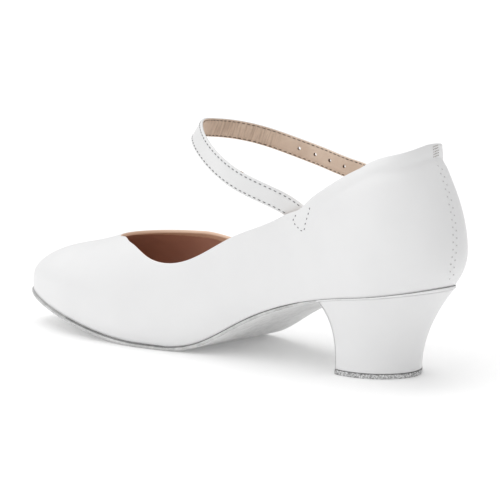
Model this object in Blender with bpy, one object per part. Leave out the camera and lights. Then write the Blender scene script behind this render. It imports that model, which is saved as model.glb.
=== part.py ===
"""Character shoe for the right foot: closed rounded toe, block heel, one strap over the instep.

Axes while building: x runs from the back of the seat to the toe, y towards the big toe's
side (medial), z up from the floor. Metres throughout. The last step moves the whole shoe
so that the origin is at the middle of its footprint.
"""
import math
from collections import namedtuple

import bmesh
import bpy
import numpy as np

# Driving sizes of the last and of what is built on it
SHOE_LENGTH = 0.246
BALL_WIDTH = 0.077
INSTEP_HEIGHT = 0.085
HEEL_HEIGHT = 0.0425
COLLAR_HEIGHT = 0.1056
SOLE_THICKNESS = 0.0020
WALL = 0.0018
FIT_GAP = 0.0003

# Where things lie along the last, in shares of SHOE_LENGTH, and the toe's swing in shares
# of BALL_WIDTH
SEAT_CENTRE_AT = 0.1545
TOE_ROUND_AT = 0.707
CROWN_ROUND_AT = 0.748
THROAT_AT = 0.797
OPENING_END_AT = 0.783
TOE_SWING_SHARE = 0.058

# The counter, which wraps the back of the heel, in shares of INSTEP_HEIGHT and in degrees
COUNTER_CROWN = 0.779
COUNTER_WIDEST = 0.1735
COUNTER_TUCK = 33.2
COUNTER_FULLNESS = 1.756
COUNTER_FLARE = 0.1266
FLARE_SHARPNESS = 7.7
SEAT_TUCK = 24.2
BODY_FULLNESS = 2.1
WIDTH_ROUND = 2.4
CROWN_ROUND = 2.6
THROAT_SQUARENESS = 2.18
THROAT_RISE = 2.41
COLLAR_LIMIT = 0.985

# Heel block and its top piece, which is what treads on the floor
TREAD_CENTRE_AT = 0.1874
BREAST_TOP_AT = 0.236
TREAD_HALF_LENGTH = 0.0224
TREAD_HALF_WIDTH = 0.0204
TREAD_CUT = 0.0069
TREAD_THICKNESS = 0.0019
BACK_SWEEP = 1.88
BREAST_SWEEP = 2.93
BREAST_HOLLOW = 0.0012

# Strap, its tab and the buckle
STRAP_WIDTH = 0.0092
STRAP_THICKNESS = 0.0015
TAB_WIDTH = 0.0084
TAB_THICKNESS = 0.0014
HOLE_RADIUS = 0.0009
HOLE_PITCH = 0.0085
WIRE_RADIUS = 0.0009
PRONG_RADIUS = 0.0006
PRONG_PLAY = 0.00012
BUCKLE_HALF_LENGTH = 0.0055
BUCKLE_HALF_WIDTH = 0.0064

# How finely the surfaces are cut
RIB_POINTS = 12
COUNTER_RIBS = 13
BODY_RIBS = 21
THROAT_RIBS = 8
TOE_RIBS = 13

# Shares of BALL_WIDTH (half widths), of INSTEP_HEIGHT (crown, widest level) and degrees of tuck
Section = namedtuple("Section", "at medial lateral crown widest tuck")
SECTIONS = (
    Section(0.155, 0.384, 0.354, 0.888, 0.24, 24),
    Section(0.25, 0.374, 0.376, 0.995, 0.24, 25),
    Section(0.35, 0.364, 0.392, 1.010, 0.22, 26),
    Section(0.45, 0.382, 0.420, 0.951, 0.20, 26),
    Section(0.55, 0.433, 0.474, 0.862, 0.18, 25),
    Section(0.65, 0.485, 0.509, 0.702, 0.15, 24),
    Section(0.75, 0.480, 0.500, 0.522, 0.14, 22),
    Section(0.85, 0.437, 0.440, 0.388, 0.12, 20),
    Section(0.93, 0.373, 0.365, 0.333, 0.10, 18),
    Section(1.00, 0.303, 0.280, 0.280, 0.08, 16),
)
# Shares of HEEL_HEIGHT and of SOLE_THICKNESS, and how far the sole stands out in metres
Tread = namedtuple("Tread", "at rise thickness margin")
TREADS = (
    Tread(0.00, 1.000, 0.30, 0.0003),
    Tread(0.12, 0.890, 0.30, 0.0003),
    Tread(0.22, 0.799, 0.35, 0.0002),
    Tread(0.32, 0.634, 0.80, 0.0000),
    Tread(0.42, 0.383, 1.00, 0.0002),
    Tread(0.52, 0.077, 1.00, 0.0006),
    Tread(0.62, 0.002, 1.00, 0.0008),
    Tread(0.70, 0.028, 1.00, 0.0008),
    Tread(0.80, 0.119, 1.00, 0.0008),
    Tread(0.90, 0.222, 1.00, 0.0008),
    Tread(1.00, 0.322, 1.00, 0.0008),
)
FLAT_DEPTH = 0.0003
# Height of the topline above the floor, in shares of COLLAR_HEIGHT
Collar = namedtuple("Collar", "at medial lateral")
COLLARS = (
    Collar(0.00, 1.000, 1.000),
    Collar(0.05, 0.971, 0.978),
    Collar(0.12, 0.933, 0.915),
    Collar(0.24, 0.771, 0.800),
    Collar(0.34, 0.629, 0.666),
    Collar(0.44, 0.530, 0.552),
    Collar(0.54, 0.405, 0.454),
    Collar(0.62, 0.395, 0.409),
    Collar(0.69, 0.4395, 0.4385),
)
# The strap's middle line in shares of SHOE_LENGTH, BALL_WIDTH and COLLAR_HEIGHT, and the
# direction of its width at each point
Strand = namedtuple("Strand", "x y z across_x across_y across_z")
STRAP = (
    Strand(0.2480, 0.3013, 0.6141, -0.44, -0.04, 0.89),
    Strand(0.2866, 0.2987, 0.6588, -0.42, -0.02, 0.90),
    Strand(0.3110, 0.3091, 0.6901, -0.39, -0.02, 0.92),
    Strand(0.3386, 0.3584, 0.7263, -0.36, -0.03, 0.93),
    Strand(0.3984, 0.4351, 0.7861, -0.37, -0.03, 0.93),
    Strand(0.4581, 0.4377, 0.8545, -0.47, -0.03, 0.88),
    Strand(0.5106, 0.3779, 0.9230, -0.50, -0.08, 0.86),
    Strand(0.5520, 0.2481, 0.9620, -0.42, -0.25, 0.88),
    Strand(0.5715, 0.0675, 0.9534, -0.34, -0.13, 0.93),
    Strand(0.5626, -0.1208, 0.9339, -0.35, -0.03, 0.94),
    Strand(0.5280, -0.2714, 0.9021, -0.35, 0.01, 0.93),
    Strand(0.4764, -0.3675, 0.8598, -0.32, 0.00, 0.95),
    Strand(0.4183, -0.4091, 0.8232, -0.27, -0.03, 0.96),
    Strand(0.3577, -0.4195, 0.7909, -0.23, -0.03, 0.97),
)
BUCKLE_AT = (0.2764, -0.4286, 0.7509)
BUCKLE_ALONG = (-0.975, 0.045, -0.215)
BUCKLE_ACROSS = (-0.21, -0.03, 0.97)
FIRST_HOLE_AT = 0.6155
# Ways past the buckle in shares of STRAP_WIDTH: along the free end, and out from the foot
FREE_END = ((-1.36, -0.09), (-0.82, -0.21), (-0.49, -0.21), (-0.16, -0.05), (0.16, 0.29),
            (0.54, 0.435), (1.03, 0.37), (1.74, 0.21), (2.61, 0.15))
TAB_WAY = ((2.17, -0.33), (1.79, -0.305), (1.41, -0.27), (1.03, -0.23))
TAB_TURNS = (-80, -110, -145, 180, 145, 110, 80, 55)


def spline(places, values):
    """Smooth curve through the table's values, straight at both ends and held beyond them."""
    places = np.asarray(places, float)
    values = np.asarray(values, float)
    gaps = np.diff(places)
    count = len(places)
    left_side = np.eye(count)
    right_side = np.zeros_like(values)
    for i in range(1, count - 1):
        left_side[i, i - 1:i + 2] = gaps[i - 1], 2 * (gaps[i - 1] + gaps[i]), gaps[i]
        right_side[i] = 6 * ((values[i + 1] - values[i]) / gaps[i]
                             - (values[i] - values[i - 1]) / gaps[i - 1])
    bends = np.linalg.solve(left_side, right_side)

    def at(place):
        place = min(max(place, places[0]), places[-1])
        i = min(max(int(np.searchsorted(places, place)) - 1, 0), count - 2)
        past, left = place - places[i], places[i + 1] - place
        gap = gaps[i]
        return ((bends[i] * left ** 3 + bends[i + 1] * past ** 3) / (6 * gap)
                + (values[i] / gap - bends[i] * gap / 6) * left
                + (values[i + 1] / gap - bends[i + 1] * gap / 6) * past)
    return at


def column(table, name, unit=1.0):
    """A table's named column as a smooth function of x."""
    return spline([row.at * SHOE_LENGTH for row in table],
                  [getattr(row, name) * unit for row in table])


half_width = {side: column(SECTIONS, side, BALL_WIDTH) for side in ("medial", "lateral")}
crown = column(SECTIONS, "crown", INSTEP_HEIGHT)
widest = column(SECTIONS, "widest", INSTEP_HEIGHT)
tuck = column(SECTIONS, "tuck")
curve_of_rise = column(TREADS, "rise", HEEL_HEIGHT)
thickness = column(TREADS, "thickness", SOLE_THICKNESS)
margin = column(TREADS, "margin")
SEAT_CENTRE = SEAT_CENTRE_AT * SHOE_LENGTH
THROAT = THROAT_AT * SHOE_LENGTH
OPENING_END = OPENING_END_AT * SHOE_LENGTH
TOE_START = TOE_ROUND_AT * SHOE_LENGTH
TOP_START = CROWN_ROUND_AT * SHOE_LENGTH
TREAD_CENTRE = TREAD_CENTRE_AT * SHOE_LENGTH
BREAST_TOP = BREAST_TOP_AT * SHOE_LENGTH
BUCKLE_CENTRE = np.array(BUCKLE_AT) * (SHOE_LENGTH, BALL_WIDTH, COLLAR_HEIGHT)
COLLAR_END = COLLARS[-1].at * SHOE_LENGTH


def collar_curve(side):
    """Topline height along x, level where the throat begins."""
    rows = list(COLLARS)
    mirrored = 2 * COLLARS[-1].at - COLLARS[-2].at
    rows.append(COLLARS[-2]._replace(at=mirrored))
    return column(rows, side, COLLAR_HEIGHT)


collar = {side: collar_curve(side) for side in ("medial", "lateral")}


def rise(x):
    """Height of the sole's underside, cut flat where the ball of the foot treads."""
    return max(curve_of_rise(x) - FLAT_DEPTH, 0.0)


def feather(x):
    """Height of the edge where the upper meets the sole."""
    return rise(x) + thickness(x)


def rounded(x, start, power):
    """Shrinks from 1 to 0 between start and the tip of the toe."""
    share = min(max((x - start) / (SHOE_LENGTH - start), 0.0), 1.0)
    return (1 - share ** power) ** (1 / power)


def middle(x):
    """Middle line of the last, which swings in towards the big toe."""
    return TOE_SWING_SHARE * BALL_WIDTH * min(max(2 * x / SHOE_LENGTH - 1, 0.0), 1.0) ** 2


def crown_height(x):
    """Top of the last above the feather edge."""
    return crown(x) * rounded(x, TOP_START, CROWN_ROUND)


def topline(x, side):
    """Height of the topline; it climbs towards the crown and is gone past the opening."""
    if x <= COLLAR_END:
        return collar[side](x)
    if x >= OPENING_END:
        return 1.0
    left = (THROAT - x) / (THROAT - COLLAR_END)
    start = collar[side](COLLAR_END)
    end = feather(THROAT) + crown_height(THROAT)
    return start + (end - start) * (1 - left ** (1 / THROAT_SQUARENESS)) ** THROAT_RISE


def collar_limit(x):
    """Share of the crown that the topline stays under; the opening ends where it is all."""
    progress = min(max((x - COLLAR_END) / (OPENING_END - COLLAR_END), 0.0), 1.0)
    return COLLAR_LIMIT + (1 - COLLAR_LIMIT) * progress ** 2


def rib(foot, heading, reach, base, broad, top, fullness, tuck_angle, cut, flare, inset):
    """Half a section, from the feather edge up to the topline or the crown."""
    share = min(max(cut - broad, 0.0) / max(top - broad, 1e-9), 1.0)
    last_turn = math.asin(share ** (fullness / 2))
    reach = reach - inset
    top = top - inset
    points = []
    for turn in np.linspace(-math.radians(tuck_angle), last_turn, RIB_POINTS):
        sine, cosine = math.sin(turn), max(math.cos(turn), 0.0)
        if turn < 0:
            out = reach * cosine
            z = broad * (1 - sine / math.sin(-math.radians(tuck_angle)))
        else:
            out = reach * (cosine if cosine > 1e-9 else 0.0) ** (2 / fullness)
            z = broad + (top - broad) * sine ** (2 / fullness)
            out += flare * (min(max((z - broad) / (cut - broad), 0.0), 1.0)) ** FLARE_SHARPNESS
        points.append((foot[0] + heading[0] * out, foot[1] + heading[1] * out, base + z))
    return points


def side_stations():
    """Planes of the ribs ahead of the seat: body, throat and toe."""
    body = np.linspace(SEAT_CENTRE, COLLAR_END, BODY_RIBS)
    throat = OPENING_END - (OPENING_END - COLLAR_END) * np.linspace(1, 0, THROAT_RIBS) ** 2
    toe_round = SHOE_LENGTH - TOE_START
    turn = math.asin((OPENING_END - TOE_START) / toe_round)
    toe = TOE_START + toe_round * np.sin(np.linspace(turn, math.pi / 2, TOE_RIBS))
    return list(body) + list(throat[1:]) + list(toe[1:])


def wall_ribs(side, inset):
    """Ribs of one side from the back seam to the tip; inset moves them in by the wall."""
    sign = 1 if side == "medial" else -1
    seat_half_width = half_width[side](SEAT_CENTRE)
    ribs = []
    for turn in np.linspace(math.pi, math.pi / 2, COUNTER_RIBS)[:-1]:
        cosine, sine = math.cos(turn), math.sin(turn)
        reach = 1 / math.hypot(cosine / SEAT_CENTRE, sine / seat_half_width)
        backward = cosine * cosine
        x = max(SEAT_CENTRE + reach * cosine, 0.0)
        base = feather(x)
        mixed = [a * (1 - backward) + b * backward for a, b in (
            (widest(SEAT_CENTRE), COUNTER_WIDEST * INSTEP_HEIGHT),
            (crown(SEAT_CENTRE), COUNTER_CROWN * INSTEP_HEIGHT),
            (BODY_FULLNESS, COUNTER_FULLNESS), (SEAT_TUCK, COUNTER_TUCK))]
        ribs.append(rib((SEAT_CENTRE, 0), (cosine, sine * sign), reach, base, mixed[0], mixed[1],
                        mixed[2], mixed[3], collar[side](x) - base,
                        COUNTER_FLARE * INSTEP_HEIGHT * backward, inset))
    for x in side_stations():
        full = crown_height(x)
        base = feather(x)
        narrowing = rounded(x, TOE_START, WIDTH_ROUND)
        broad = min(widest(x), 0.45 * full)
        angle = tuck(x)
        if x < 0.3 * SHOE_LENGTH:
            angle = SEAT_TUCK + (angle - SEAT_TUCK) * (x - SEAT_CENTRE) / (0.3 * SHOE_LENGTH
                                                                         - SEAT_CENTRE)
        crowned = rounded(x, TOP_START, CROWN_ROUND)
        place = x
        if x > TOE_START:
            place = TOE_START + (x - TOE_START) * (1 - inset / (SHOE_LENGTH - TOE_START))
        edge = topline(x, side) - base
        if x < OPENING_END - 1e-9:
            edge = min(edge, collar_limit(x) * full)
        ribs.append(rib((place, middle(x)), (0, sign), half_width[side](x) * narrowing, base,
                        broad, full, BODY_FULLNESS, angle, edge, 0.0,
                        inset * min(narrowing, crowned)))
    return ribs


def make_object(name, points, faces, material):
    """Closed mesh from points and faces, with doubled points joined and faces turned out."""
    mesh = bpy.data.meshes.new(name)
    built = bmesh.new()
    corners = [built.verts.new(point) for point in points]
    for face in faces:
        built.faces.new([corners[i] for i in face])
    bmesh.ops.remove_doubles(built, verts=built.verts, dist=2e-6)
    bmesh.ops.triangulate(built, faces=built.faces)
    bmesh.ops.recalc_face_normals(built, faces=built.faces)
    built.to_mesh(mesh)
    built.free()
    mesh.materials.append(material)
    made = bpy.data.objects.new(name, mesh)
    parts.objects.link(made)
    return made


def make_material(name, colour, roughness, metallic=0.0):
    """One plain surface for a piece."""
    material = bpy.data.materials.new(name)
    material.use_nodes = True
    shader = material.node_tree.nodes["Principled BSDF"]
    shader.inputs["Base Color"].default_value = (*colour, 1)
    shader.inputs["Roughness"].default_value = roughness
    shader.inputs["Metallic"].default_value = metallic
    return material


def joined(rows, closed_across=False):
    """Faces between neighbouring rows of equally many points."""
    across = len(rows[0])
    last = across if closed_across else across - 1
    faces = []
    for i in range(len(rows) - 1):
        for j in range(last):
            k = (j + 1) % across
            faces.append((i * across + j, (i + 1) * across + j, (i + 1) * across + k,
                          i * across + k))
    return faces


def make_upper():
    """Hollow shell: an outer and an inner face, joined round the topline and the feather."""
    points, faces = [], []
    for side in ("medial", "lateral"):
        for outer, inner in [(wall_ribs(side, 0.0), wall_ribs(side, WALL))]:
            rows = []
            for out, within in zip(outer, inner):
                rows.append(out + within[::-1])
            start = len(points)
            throat = next(i for i, row in enumerate(rows)
                          if i >= COUNTER_RIBS - 1 and abs(row[0][0] - OPENING_END) < 1e-9)
            for i, j, k, l in joined(rows, closed_across=True):
                row, seat = divmod(i, len(rows[0]))
                on_rim = seat == RIB_POINTS - 1
                if on_rim and row >= throat:
                    continue
                faces.append((start + i, start + j, start + k, start + l))
            for row in rows:
                points.extend(row)
    return make_object("upper", points, faces, leather)


def outline(side, inset, grow, lift):
    """Plan line of the feather edge from back to tip, moved outward by grow."""
    line = np.array([points[0] for points in wall_ribs(side, inset)])
    sign = 1 if side == "medial" else -1
    ways = np.gradient(line[:, :2], axis=0)
    normals = np.stack([-ways[:, 1] * sign, ways[:, 0] * sign], axis=1)
    normals[0] = (-1, 0)
    normals[-1] = (1, 0)
    normals /= np.linalg.norm(normals, axis=1)[:, None]
    for i, (x, _, _) in enumerate(line.copy()):
        line[i, :2] += normals[i] * grow(x)
        line[i, 2] = lift(min(max(line[i, 0], 0.0), SHOE_LENGTH))
    return line


def make_sheet(name, inset, grow, under, over, material, edge=0.0):
    """A sole-shaped sheet between two levels, with its lower edge drawn in a little."""
    rows = []
    for i in range(len(wall_ribs("medial", 0.0))):
        rows.append([])
    for side, sign in (("medial", 1), ("lateral", -1)):
        low = outline(side, inset, lambda x: grow(x) - edge, under)
        high = outline(side, inset, grow, over)
        for i, row in enumerate(rows):
            pair = [tuple(low[i]), tuple(high[i])]
            row.extend(pair if sign == 1 else pair[::-1])
    points = [point for row in rows for point in row]
    faces = joined(rows, closed_across=True)
    return make_object(name, points, faces, material)


def heel_outlines(side):
    """Matching lines at the seat and at the tread, from the back centre to the breast."""
    sign = 1 if side == "medial" else -1
    seat_half_width = half_width[side](SEAT_CENTRE)
    front_turn = math.acos(TREAD_CUT / TREAD_HALF_LENGTH)
    seat, tread = [], []
    count = 19
    for i in range(count):
        share = i / (count - 1)
        if share < 0.62:
            turn = math.pi - share / 0.62 * math.pi / 2
            cosine, sine = math.cos(turn), math.sin(turn)
            lean = math.radians(SEAT_TUCK + (COUNTER_TUCK - SEAT_TUCK) * cosine * cosine)
            reach = math.cos(lean) / math.hypot(cosine / SEAT_CENTRE, sine / seat_half_width)
            seat.append((SEAT_CENTRE + reach * cosine, reach * sine * sign))
        else:
            x = SEAT_CENTRE + (BREAST_TOP - SEAT_CENTRE) * (share - 0.62) / 0.38
            seat.append((x, half_width[side](x) * math.cos(math.radians(SEAT_TUCK)) * sign))
        turn = math.pi - share * (math.pi - front_turn)
        tread.append((TREAD_CENTRE + TREAD_HALF_LENGTH * math.cos(turn),
                      TREAD_HALF_WIDTH * math.sin(turn) * sign))
    return seat, tread


def heel_ring(level):
    """One closed line round the heel block; level 0 is the tread and 1 the seat."""
    ring = []
    lines = {}
    for side in ("medial", "lateral"):
        seat, tread = heel_outlines(side)
        line = []
        for i, (high, low) in enumerate(zip(seat, tread)):
            sweep = BACK_SWEEP + (BREAST_SWEEP - BACK_SWEEP) * (i / (len(seat) - 1)) ** 3
            mix = level ** sweep
            x = low[0] + (high[0] - low[0]) * mix
            y = low[1] + (high[1] - low[1]) * mix
            top = rise(max(high[0], 0.0)) - FIT_GAP
            floor = TREAD_THICKNESS + FIT_GAP
            line.append((x, y, floor + (top - floor) * level))
        lines[side] = line
    ring.extend(lines["medial"])
    a, b = np.array(lines["medial"][-1]), np.array(lines["lateral"][-1])
    for share in (0.25, 0.5, 0.75):
        point = a + (b - a) * share
        point[0] -= BREAST_HOLLOW * math.sin(math.pi * share)
        ring.append(tuple(point))
    ring.extend(lines["lateral"][:0:-1])
    return ring


def capped(rings, heel_points):
    """Faces of a stack of rings with both ends closed by strips across."""
    count = len(rings[0])
    faces = joined(rings, closed_across=True)
    strips = []
    for i in range(heel_points - 1):
        left, right = i, (count - i) % count
        next_left, next_right = i + 1, count - i - 1
        strips.append((left, next_left, next_right, right) if i else (0, 1, count - 1))
    front = tuple(range(heel_points - 1, heel_points + 4))
    strips.append(front)
    top = (len(rings) - 1) * count
    faces += strips + [tuple(top + i for i in reversed(strip)) for strip in strips]
    return faces


def make_heel():
    """Heel block: swept in towards the tread, flaring out again under the seat."""
    rings = [heel_ring(level) for level in np.linspace(0, 1, 13)]
    points = [point for ring in rings for point in ring]
    return make_object("heel", points, capped(rings, 19), heel_cover)


def make_top_piece():
    """Flat piece under the heel block, a little proud of it."""
    ring = np.array(heel_ring(0.0))
    centre = ring.mean(axis=0)
    out = ring - centre
    out[:, 2] = 0
    proud = ring + out / np.linalg.norm(out, axis=1)[:, None] * 0.0002
    proud[:, 2] = 0.0
    top = proud.copy()
    top[:, 2] = TREAD_THICKNESS
    rings = [[tuple(point) for point in proud], [tuple(point) for point in top]]
    return make_object("heel_top_piece", rings[0] + rings[1], capped(rings, 19), top_piece)


def unit(vector):
    vector = np.asarray(vector, float)
    return vector / np.linalg.norm(vector)


along = unit(BUCKLE_ALONG)
across = unit(np.array(BUCKLE_ACROSS) - np.dot(BUCKLE_ACROSS, along) * along)
outward = np.cross(across, along)
if outward[1] > 0:
    outward = -outward


def at_buckle(forward, out, sideways=0.0):
    """A point near the buckle: forward along the free end, out from the foot, sideways up."""
    return BUCKLE_CENTRE + along * forward + outward * out + across * sideways


def band(middles, widths, width, thick, count, tip=0.0):
    """Flat band swept along its middle line, with square edges and, over tip, a rounded end."""
    middles = np.array(middles)
    spans = np.concatenate([[0], np.cumsum(np.linalg.norm(np.diff(middles, axis=0), axis=1))])
    line = spline(spans, middles)
    turned = spline(spans, np.array(widths))
    rows = []
    frames = []
    for place in np.linspace(0, spans[-1], count):
        ahead = unit(line(place + 1e-5) - line(place - 1e-5))
        wide = turned(place)
        wide = unit(wide - np.dot(wide, ahead) * ahead)
        face = np.cross(ahead, wide)
        point = line(place)
        share = max(place - (spans[-1] - tip), 0.0) / tip if tip else 0.0
        half = max(math.sqrt(1 - min(share, 1.0) ** 2.2), 0.12) * width / 2
        frames.append((point, ahead, wide, face))
        rows.append([tuple(point + wide * w * half + face * t * thick / 2)
                     for w, t in ((-1, -1), (1, -1), (1, 1), (-1, 1))])
    points = [point for row in rows for point in row]
    faces = joined(rows, closed_across=True)
    last = (len(rows) - 1) * 4
    faces += [(0, 1, 2, 3), (last + 3, last + 2, last + 1, last)]
    return points, faces, frames


def tube(middles, radius, count, closed=False, sides=8):
    """Round wire along a line of points."""
    middles = [np.array(point) for point in middles]
    total = len(middles)
    rows = []
    side_way = None
    for i, point in enumerate(middles):
        before = middles[(i - 1) % total] if closed or i else middles[i]
        after = middles[(i + 1) % total] if closed or i < total - 1 else middles[i]
        ahead = unit(after - before)
        if side_way is None:
            side_way = across if abs(np.dot(ahead, across)) < 0.9 else outward
        side_way = unit(side_way - np.dot(side_way, ahead) * ahead)
        other = np.cross(ahead, side_way)
        rows.append([tuple(point + radius * (math.cos(2 * math.pi * k / sides) * side_way
                                             + math.sin(2 * math.pi * k / sides) * other))
                     for k in range(sides)])
    points = [point for row in rows for point in row]
    if closed:
        faces = joined(rows + [rows[0]], closed_across=True)
        points += rows[0]
    else:
        faces = joined(rows, closed_across=True)
        last = (total - 1) * sides
        faces += [tuple(range(sides)), tuple(last + k for k in reversed(range(sides)))]
    return points, faces


def cut(target, points, faces):
    """Cuts a closed shape out of an object."""
    cutter = make_object("cutter", points, faces, leather)
    parts.objects.unlink(cutter)
    cutters.objects.link(cutter)
    cutter.hide_render = True
    step = target.modifiers.new("cut", "BOOLEAN")
    step.operation = "DIFFERENCE"
    step.solver = "EXACT"
    step.object = cutter
    seen = bpy.context.evaluated_depsgraph_get()
    mesh = bpy.data.meshes.new_from_object(target.evaluated_get(seen))
    target.modifiers.remove(step)
    target.data = mesh
    bpy.data.objects.remove(cutter)


def make_strap():
    """One strap from inside the medial topline, over the instep and through the buckle."""
    middles = [(row.x * SHOE_LENGTH, row.y * BALL_WIDTH, row.z * COLLAR_HEIGHT)
               for row in STRAP]
    widths = [(row.across_x, row.across_y, row.across_z) for row in STRAP]
    for forward, out in FREE_END:
        middles.append(at_buckle(forward * STRAP_WIDTH, out * STRAP_WIDTH))
        widths.append(across)
    points, faces, frames = band(middles, widths, STRAP_WIDTH, STRAP_THICKNESS, 150,
                                 tip=0.6 * STRAP_WIDTH)
    strap = make_object("strap", points, faces, leather)
    spots = [FIRST_HOLE_AT * SHOE_LENGTH + HOLE_PITCH * i for i in range(6)]
    lengths = np.cumsum([0] + [float(np.linalg.norm(frames[i + 1][0] - frames[i][0]))
                               for i in range(len(frames) - 1)])
    for spot in spots:
        point, _, _, face = frames[int(np.argmin(np.abs(lengths - spot)))]
        rod = [point - face * STRAP_THICKNESS, point + face * STRAP_THICKNESS]
        cut(strap, *tube(rod, HOLE_RADIUS, 2, sides=10))
    level = WIRE_RADIUS + PRONG_RADIUS + PRONG_PLAY
    rod = [at_buckle(-1.1 * BUCKLE_HALF_LENGTH, level), at_buckle(0.7 * BUCKLE_HALF_LENGTH, level)]
    cut(strap, *tube(rod, PRONG_RADIUS + FIT_GAP, 2, sides=10))
    return strap


def make_buckle():
    """Rectangular wire frame with rounded corners."""
    corner = 1.8 * WIRE_RADIUS
    line = []
    for forward, sideways, start in ((1, 1, 0), (-1, 1, 90), (-1, -1, 180), (1, -1, 270)):
        for step in range(4):
            turn = math.radians(start + step * 30)
            line.append(at_buckle(forward * (BUCKLE_HALF_LENGTH - corner)
                                  + corner * math.cos(turn), 0.0,
                                  sideways * (BUCKLE_HALF_WIDTH - corner)
                                  + corner * math.sin(turn)))
    points, faces = tube(line, WIRE_RADIUS, len(line), closed=True)
    return make_object("buckle_frame", points, faces, metal)


def make_prong():
    """Thin prong curled round the rear bar, its tip lying on the front bar."""
    reach = WIRE_RADIUS + PRONG_RADIUS + PRONG_PLAY
    line = [at_buckle(share * BUCKLE_HALF_LENGTH, reach) for share in (-1.2, -0.55, 0.18)]
    for step in range(9):
        turn = math.radians(90 - step * 30)
        line.append(at_buckle(BUCKLE_HALF_LENGTH + reach * math.cos(turn),
                              reach * math.sin(turn)))
    points, faces = tube(line, PRONG_RADIUS, len(line))
    return make_object("buckle_prong", points, faces, metal)


def make_tab():
    """Tab stitched to the outside of the upper and folded round the buckle's rear bar."""
    turn_radius = WIRE_RADIUS + 1.33 * FIT_GAP + TAB_THICKNESS / 2
    line = [at_buckle(forward * STRAP_WIDTH, out * STRAP_WIDTH) for forward, out in TAB_WAY]
    for turn in TAB_TURNS:
        angle = math.radians(turn)
        line.append(at_buckle(BUCKLE_HALF_LENGTH + turn_radius * math.cos(angle),
                              turn_radius * math.sin(angle)))
    points, faces, _ = band(line, [across] * len(line), TAB_WIDTH, TAB_THICKNESS, 40)
    tab = make_object("buckle_tab", points, faces, leather)
    slot_way = [at_buckle(0.27 * BUCKLE_HALF_LENGTH, 0.0), at_buckle(1.7 * BUCKLE_HALF_LENGTH, 0.0)]
    slot, slot_faces, _ = band(slot_way, [across, across], 3.6 * PRONG_RADIUS,
                               2.9 * (WIRE_RADIUS + PRONG_RADIUS + FIT_GAP), 2)
    cut(tab, slot, slot_faces)
    return tab


for old in list(bpy.data.objects):
    bpy.data.objects.remove(old)
parts = bpy.data.collections.new("character_shoe")
cutters = bpy.data.collections.new("cutters")
bpy.context.scene.collection.children.link(parts)
bpy.context.scene.collection.children.link(cutters)

leather = make_material("white_smooth_leather", (0.86, 0.86, 0.85), 0.35)
heel_cover = make_material("white_covered_heel", (0.86, 0.86, 0.85), 0.35)
suede = make_material("grey_suede", (0.42, 0.42, 0.41), 0.95)
top_piece = make_material("dark_grey_top_piece", (0.12, 0.12, 0.12), 0.85)
lining = make_material("tan_lining_leather", (0.45, 0.30, 0.20), 0.7)
metal = make_material("plated_buckle_metal", (0.75, 0.75, 0.76), 0.25, 1.0)

make_upper()
make_sheet("insole", WALL, lambda x: -0.00035, lambda x: feather(x) + 0.0001,
           lambda x: feather(x) + 0.0016, lining)
make_sheet("outsole", 0.0, margin, rise, lambda x: feather(x) - FIT_GAP, suede, edge=0.0003)
make_heel()
make_top_piece()
make_strap()
make_buckle()
make_prong()
make_tab()

corners = np.array([vertex.co for made in parts.objects for vertex in made.data.vertices])
low, high = corners.min(axis=0), corners.max(axis=0)
for made in parts.objects:
    for vertex in made.data.vertices:
        vertex.co.x -= (low[0] + high[0]) / 2
        vertex.co.y -= (low[1] + high[1]) / 2
        vertex.co.z -= low[2]
print("moved by", -(low[0] + high[0]) / 2, -(low[1] + high[1]) / 2, -low[2])
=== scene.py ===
import math
from collections import namedtuple

import bmesh
import bpy
import numpy as np
from mathutils import Matrix, Vector


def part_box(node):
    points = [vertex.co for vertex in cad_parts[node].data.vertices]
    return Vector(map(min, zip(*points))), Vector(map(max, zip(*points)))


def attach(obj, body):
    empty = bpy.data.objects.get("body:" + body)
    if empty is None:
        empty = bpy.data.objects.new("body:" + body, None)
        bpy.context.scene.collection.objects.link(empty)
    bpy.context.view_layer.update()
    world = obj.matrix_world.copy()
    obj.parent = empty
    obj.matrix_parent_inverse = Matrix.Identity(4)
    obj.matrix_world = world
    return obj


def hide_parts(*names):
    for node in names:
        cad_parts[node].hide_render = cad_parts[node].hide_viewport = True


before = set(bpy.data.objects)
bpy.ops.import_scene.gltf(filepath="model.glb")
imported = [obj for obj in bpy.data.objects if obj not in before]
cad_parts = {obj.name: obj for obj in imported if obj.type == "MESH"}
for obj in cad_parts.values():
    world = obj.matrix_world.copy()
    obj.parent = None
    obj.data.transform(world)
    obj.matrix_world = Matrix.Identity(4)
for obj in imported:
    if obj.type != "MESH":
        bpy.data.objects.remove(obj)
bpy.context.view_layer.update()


# The upper: white smooth leather pulled over the last, with a tan lining turned in at the
# topline; below the edge the vamp lining is painted browner and darker as the shade inside
# the shoe. One shell, closed along the vamp and open at the collar and underneath, where it
# is lasted onto the sole.
SHOE_LENGTH = 0.246
BALL_WIDTH = 0.077
INSTEP_HEIGHT = 0.085
HEEL_HEIGHT = 0.0425
COLLAR_HEIGHT = 0.1056
SOLE_THICKNESS = 0.0020
WALL = 0.0018
SEAT_CENTRE_AT = 0.1545
TOE_ROUND_AT = 0.707
CROWN_ROUND_AT = 0.748
THROAT_AT = 0.797
OPENING_END_AT = 0.783
TOE_SWING_SHARE = 0.058
COUNTER_CROWN = 0.779
COUNTER_WIDEST = 0.1735
COUNTER_TUCK = 33.2
COUNTER_FULLNESS = 1.756
COUNTER_FLARE = 0.1266
FLARE_SHARPNESS = 7.7
SEAT_TUCK = 24.2
BODY_FULLNESS = 2.1
WIDTH_ROUND = 2.4
CROWN_ROUND = 2.6
THROAT_SQUARENESS = 2.18
THROAT_RISE = 2.41
COLLAR_LIMIT = 0.985
TUCK_SETTLES_AT = 0.3
FLAT_DEPTH = 0.0003

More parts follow.
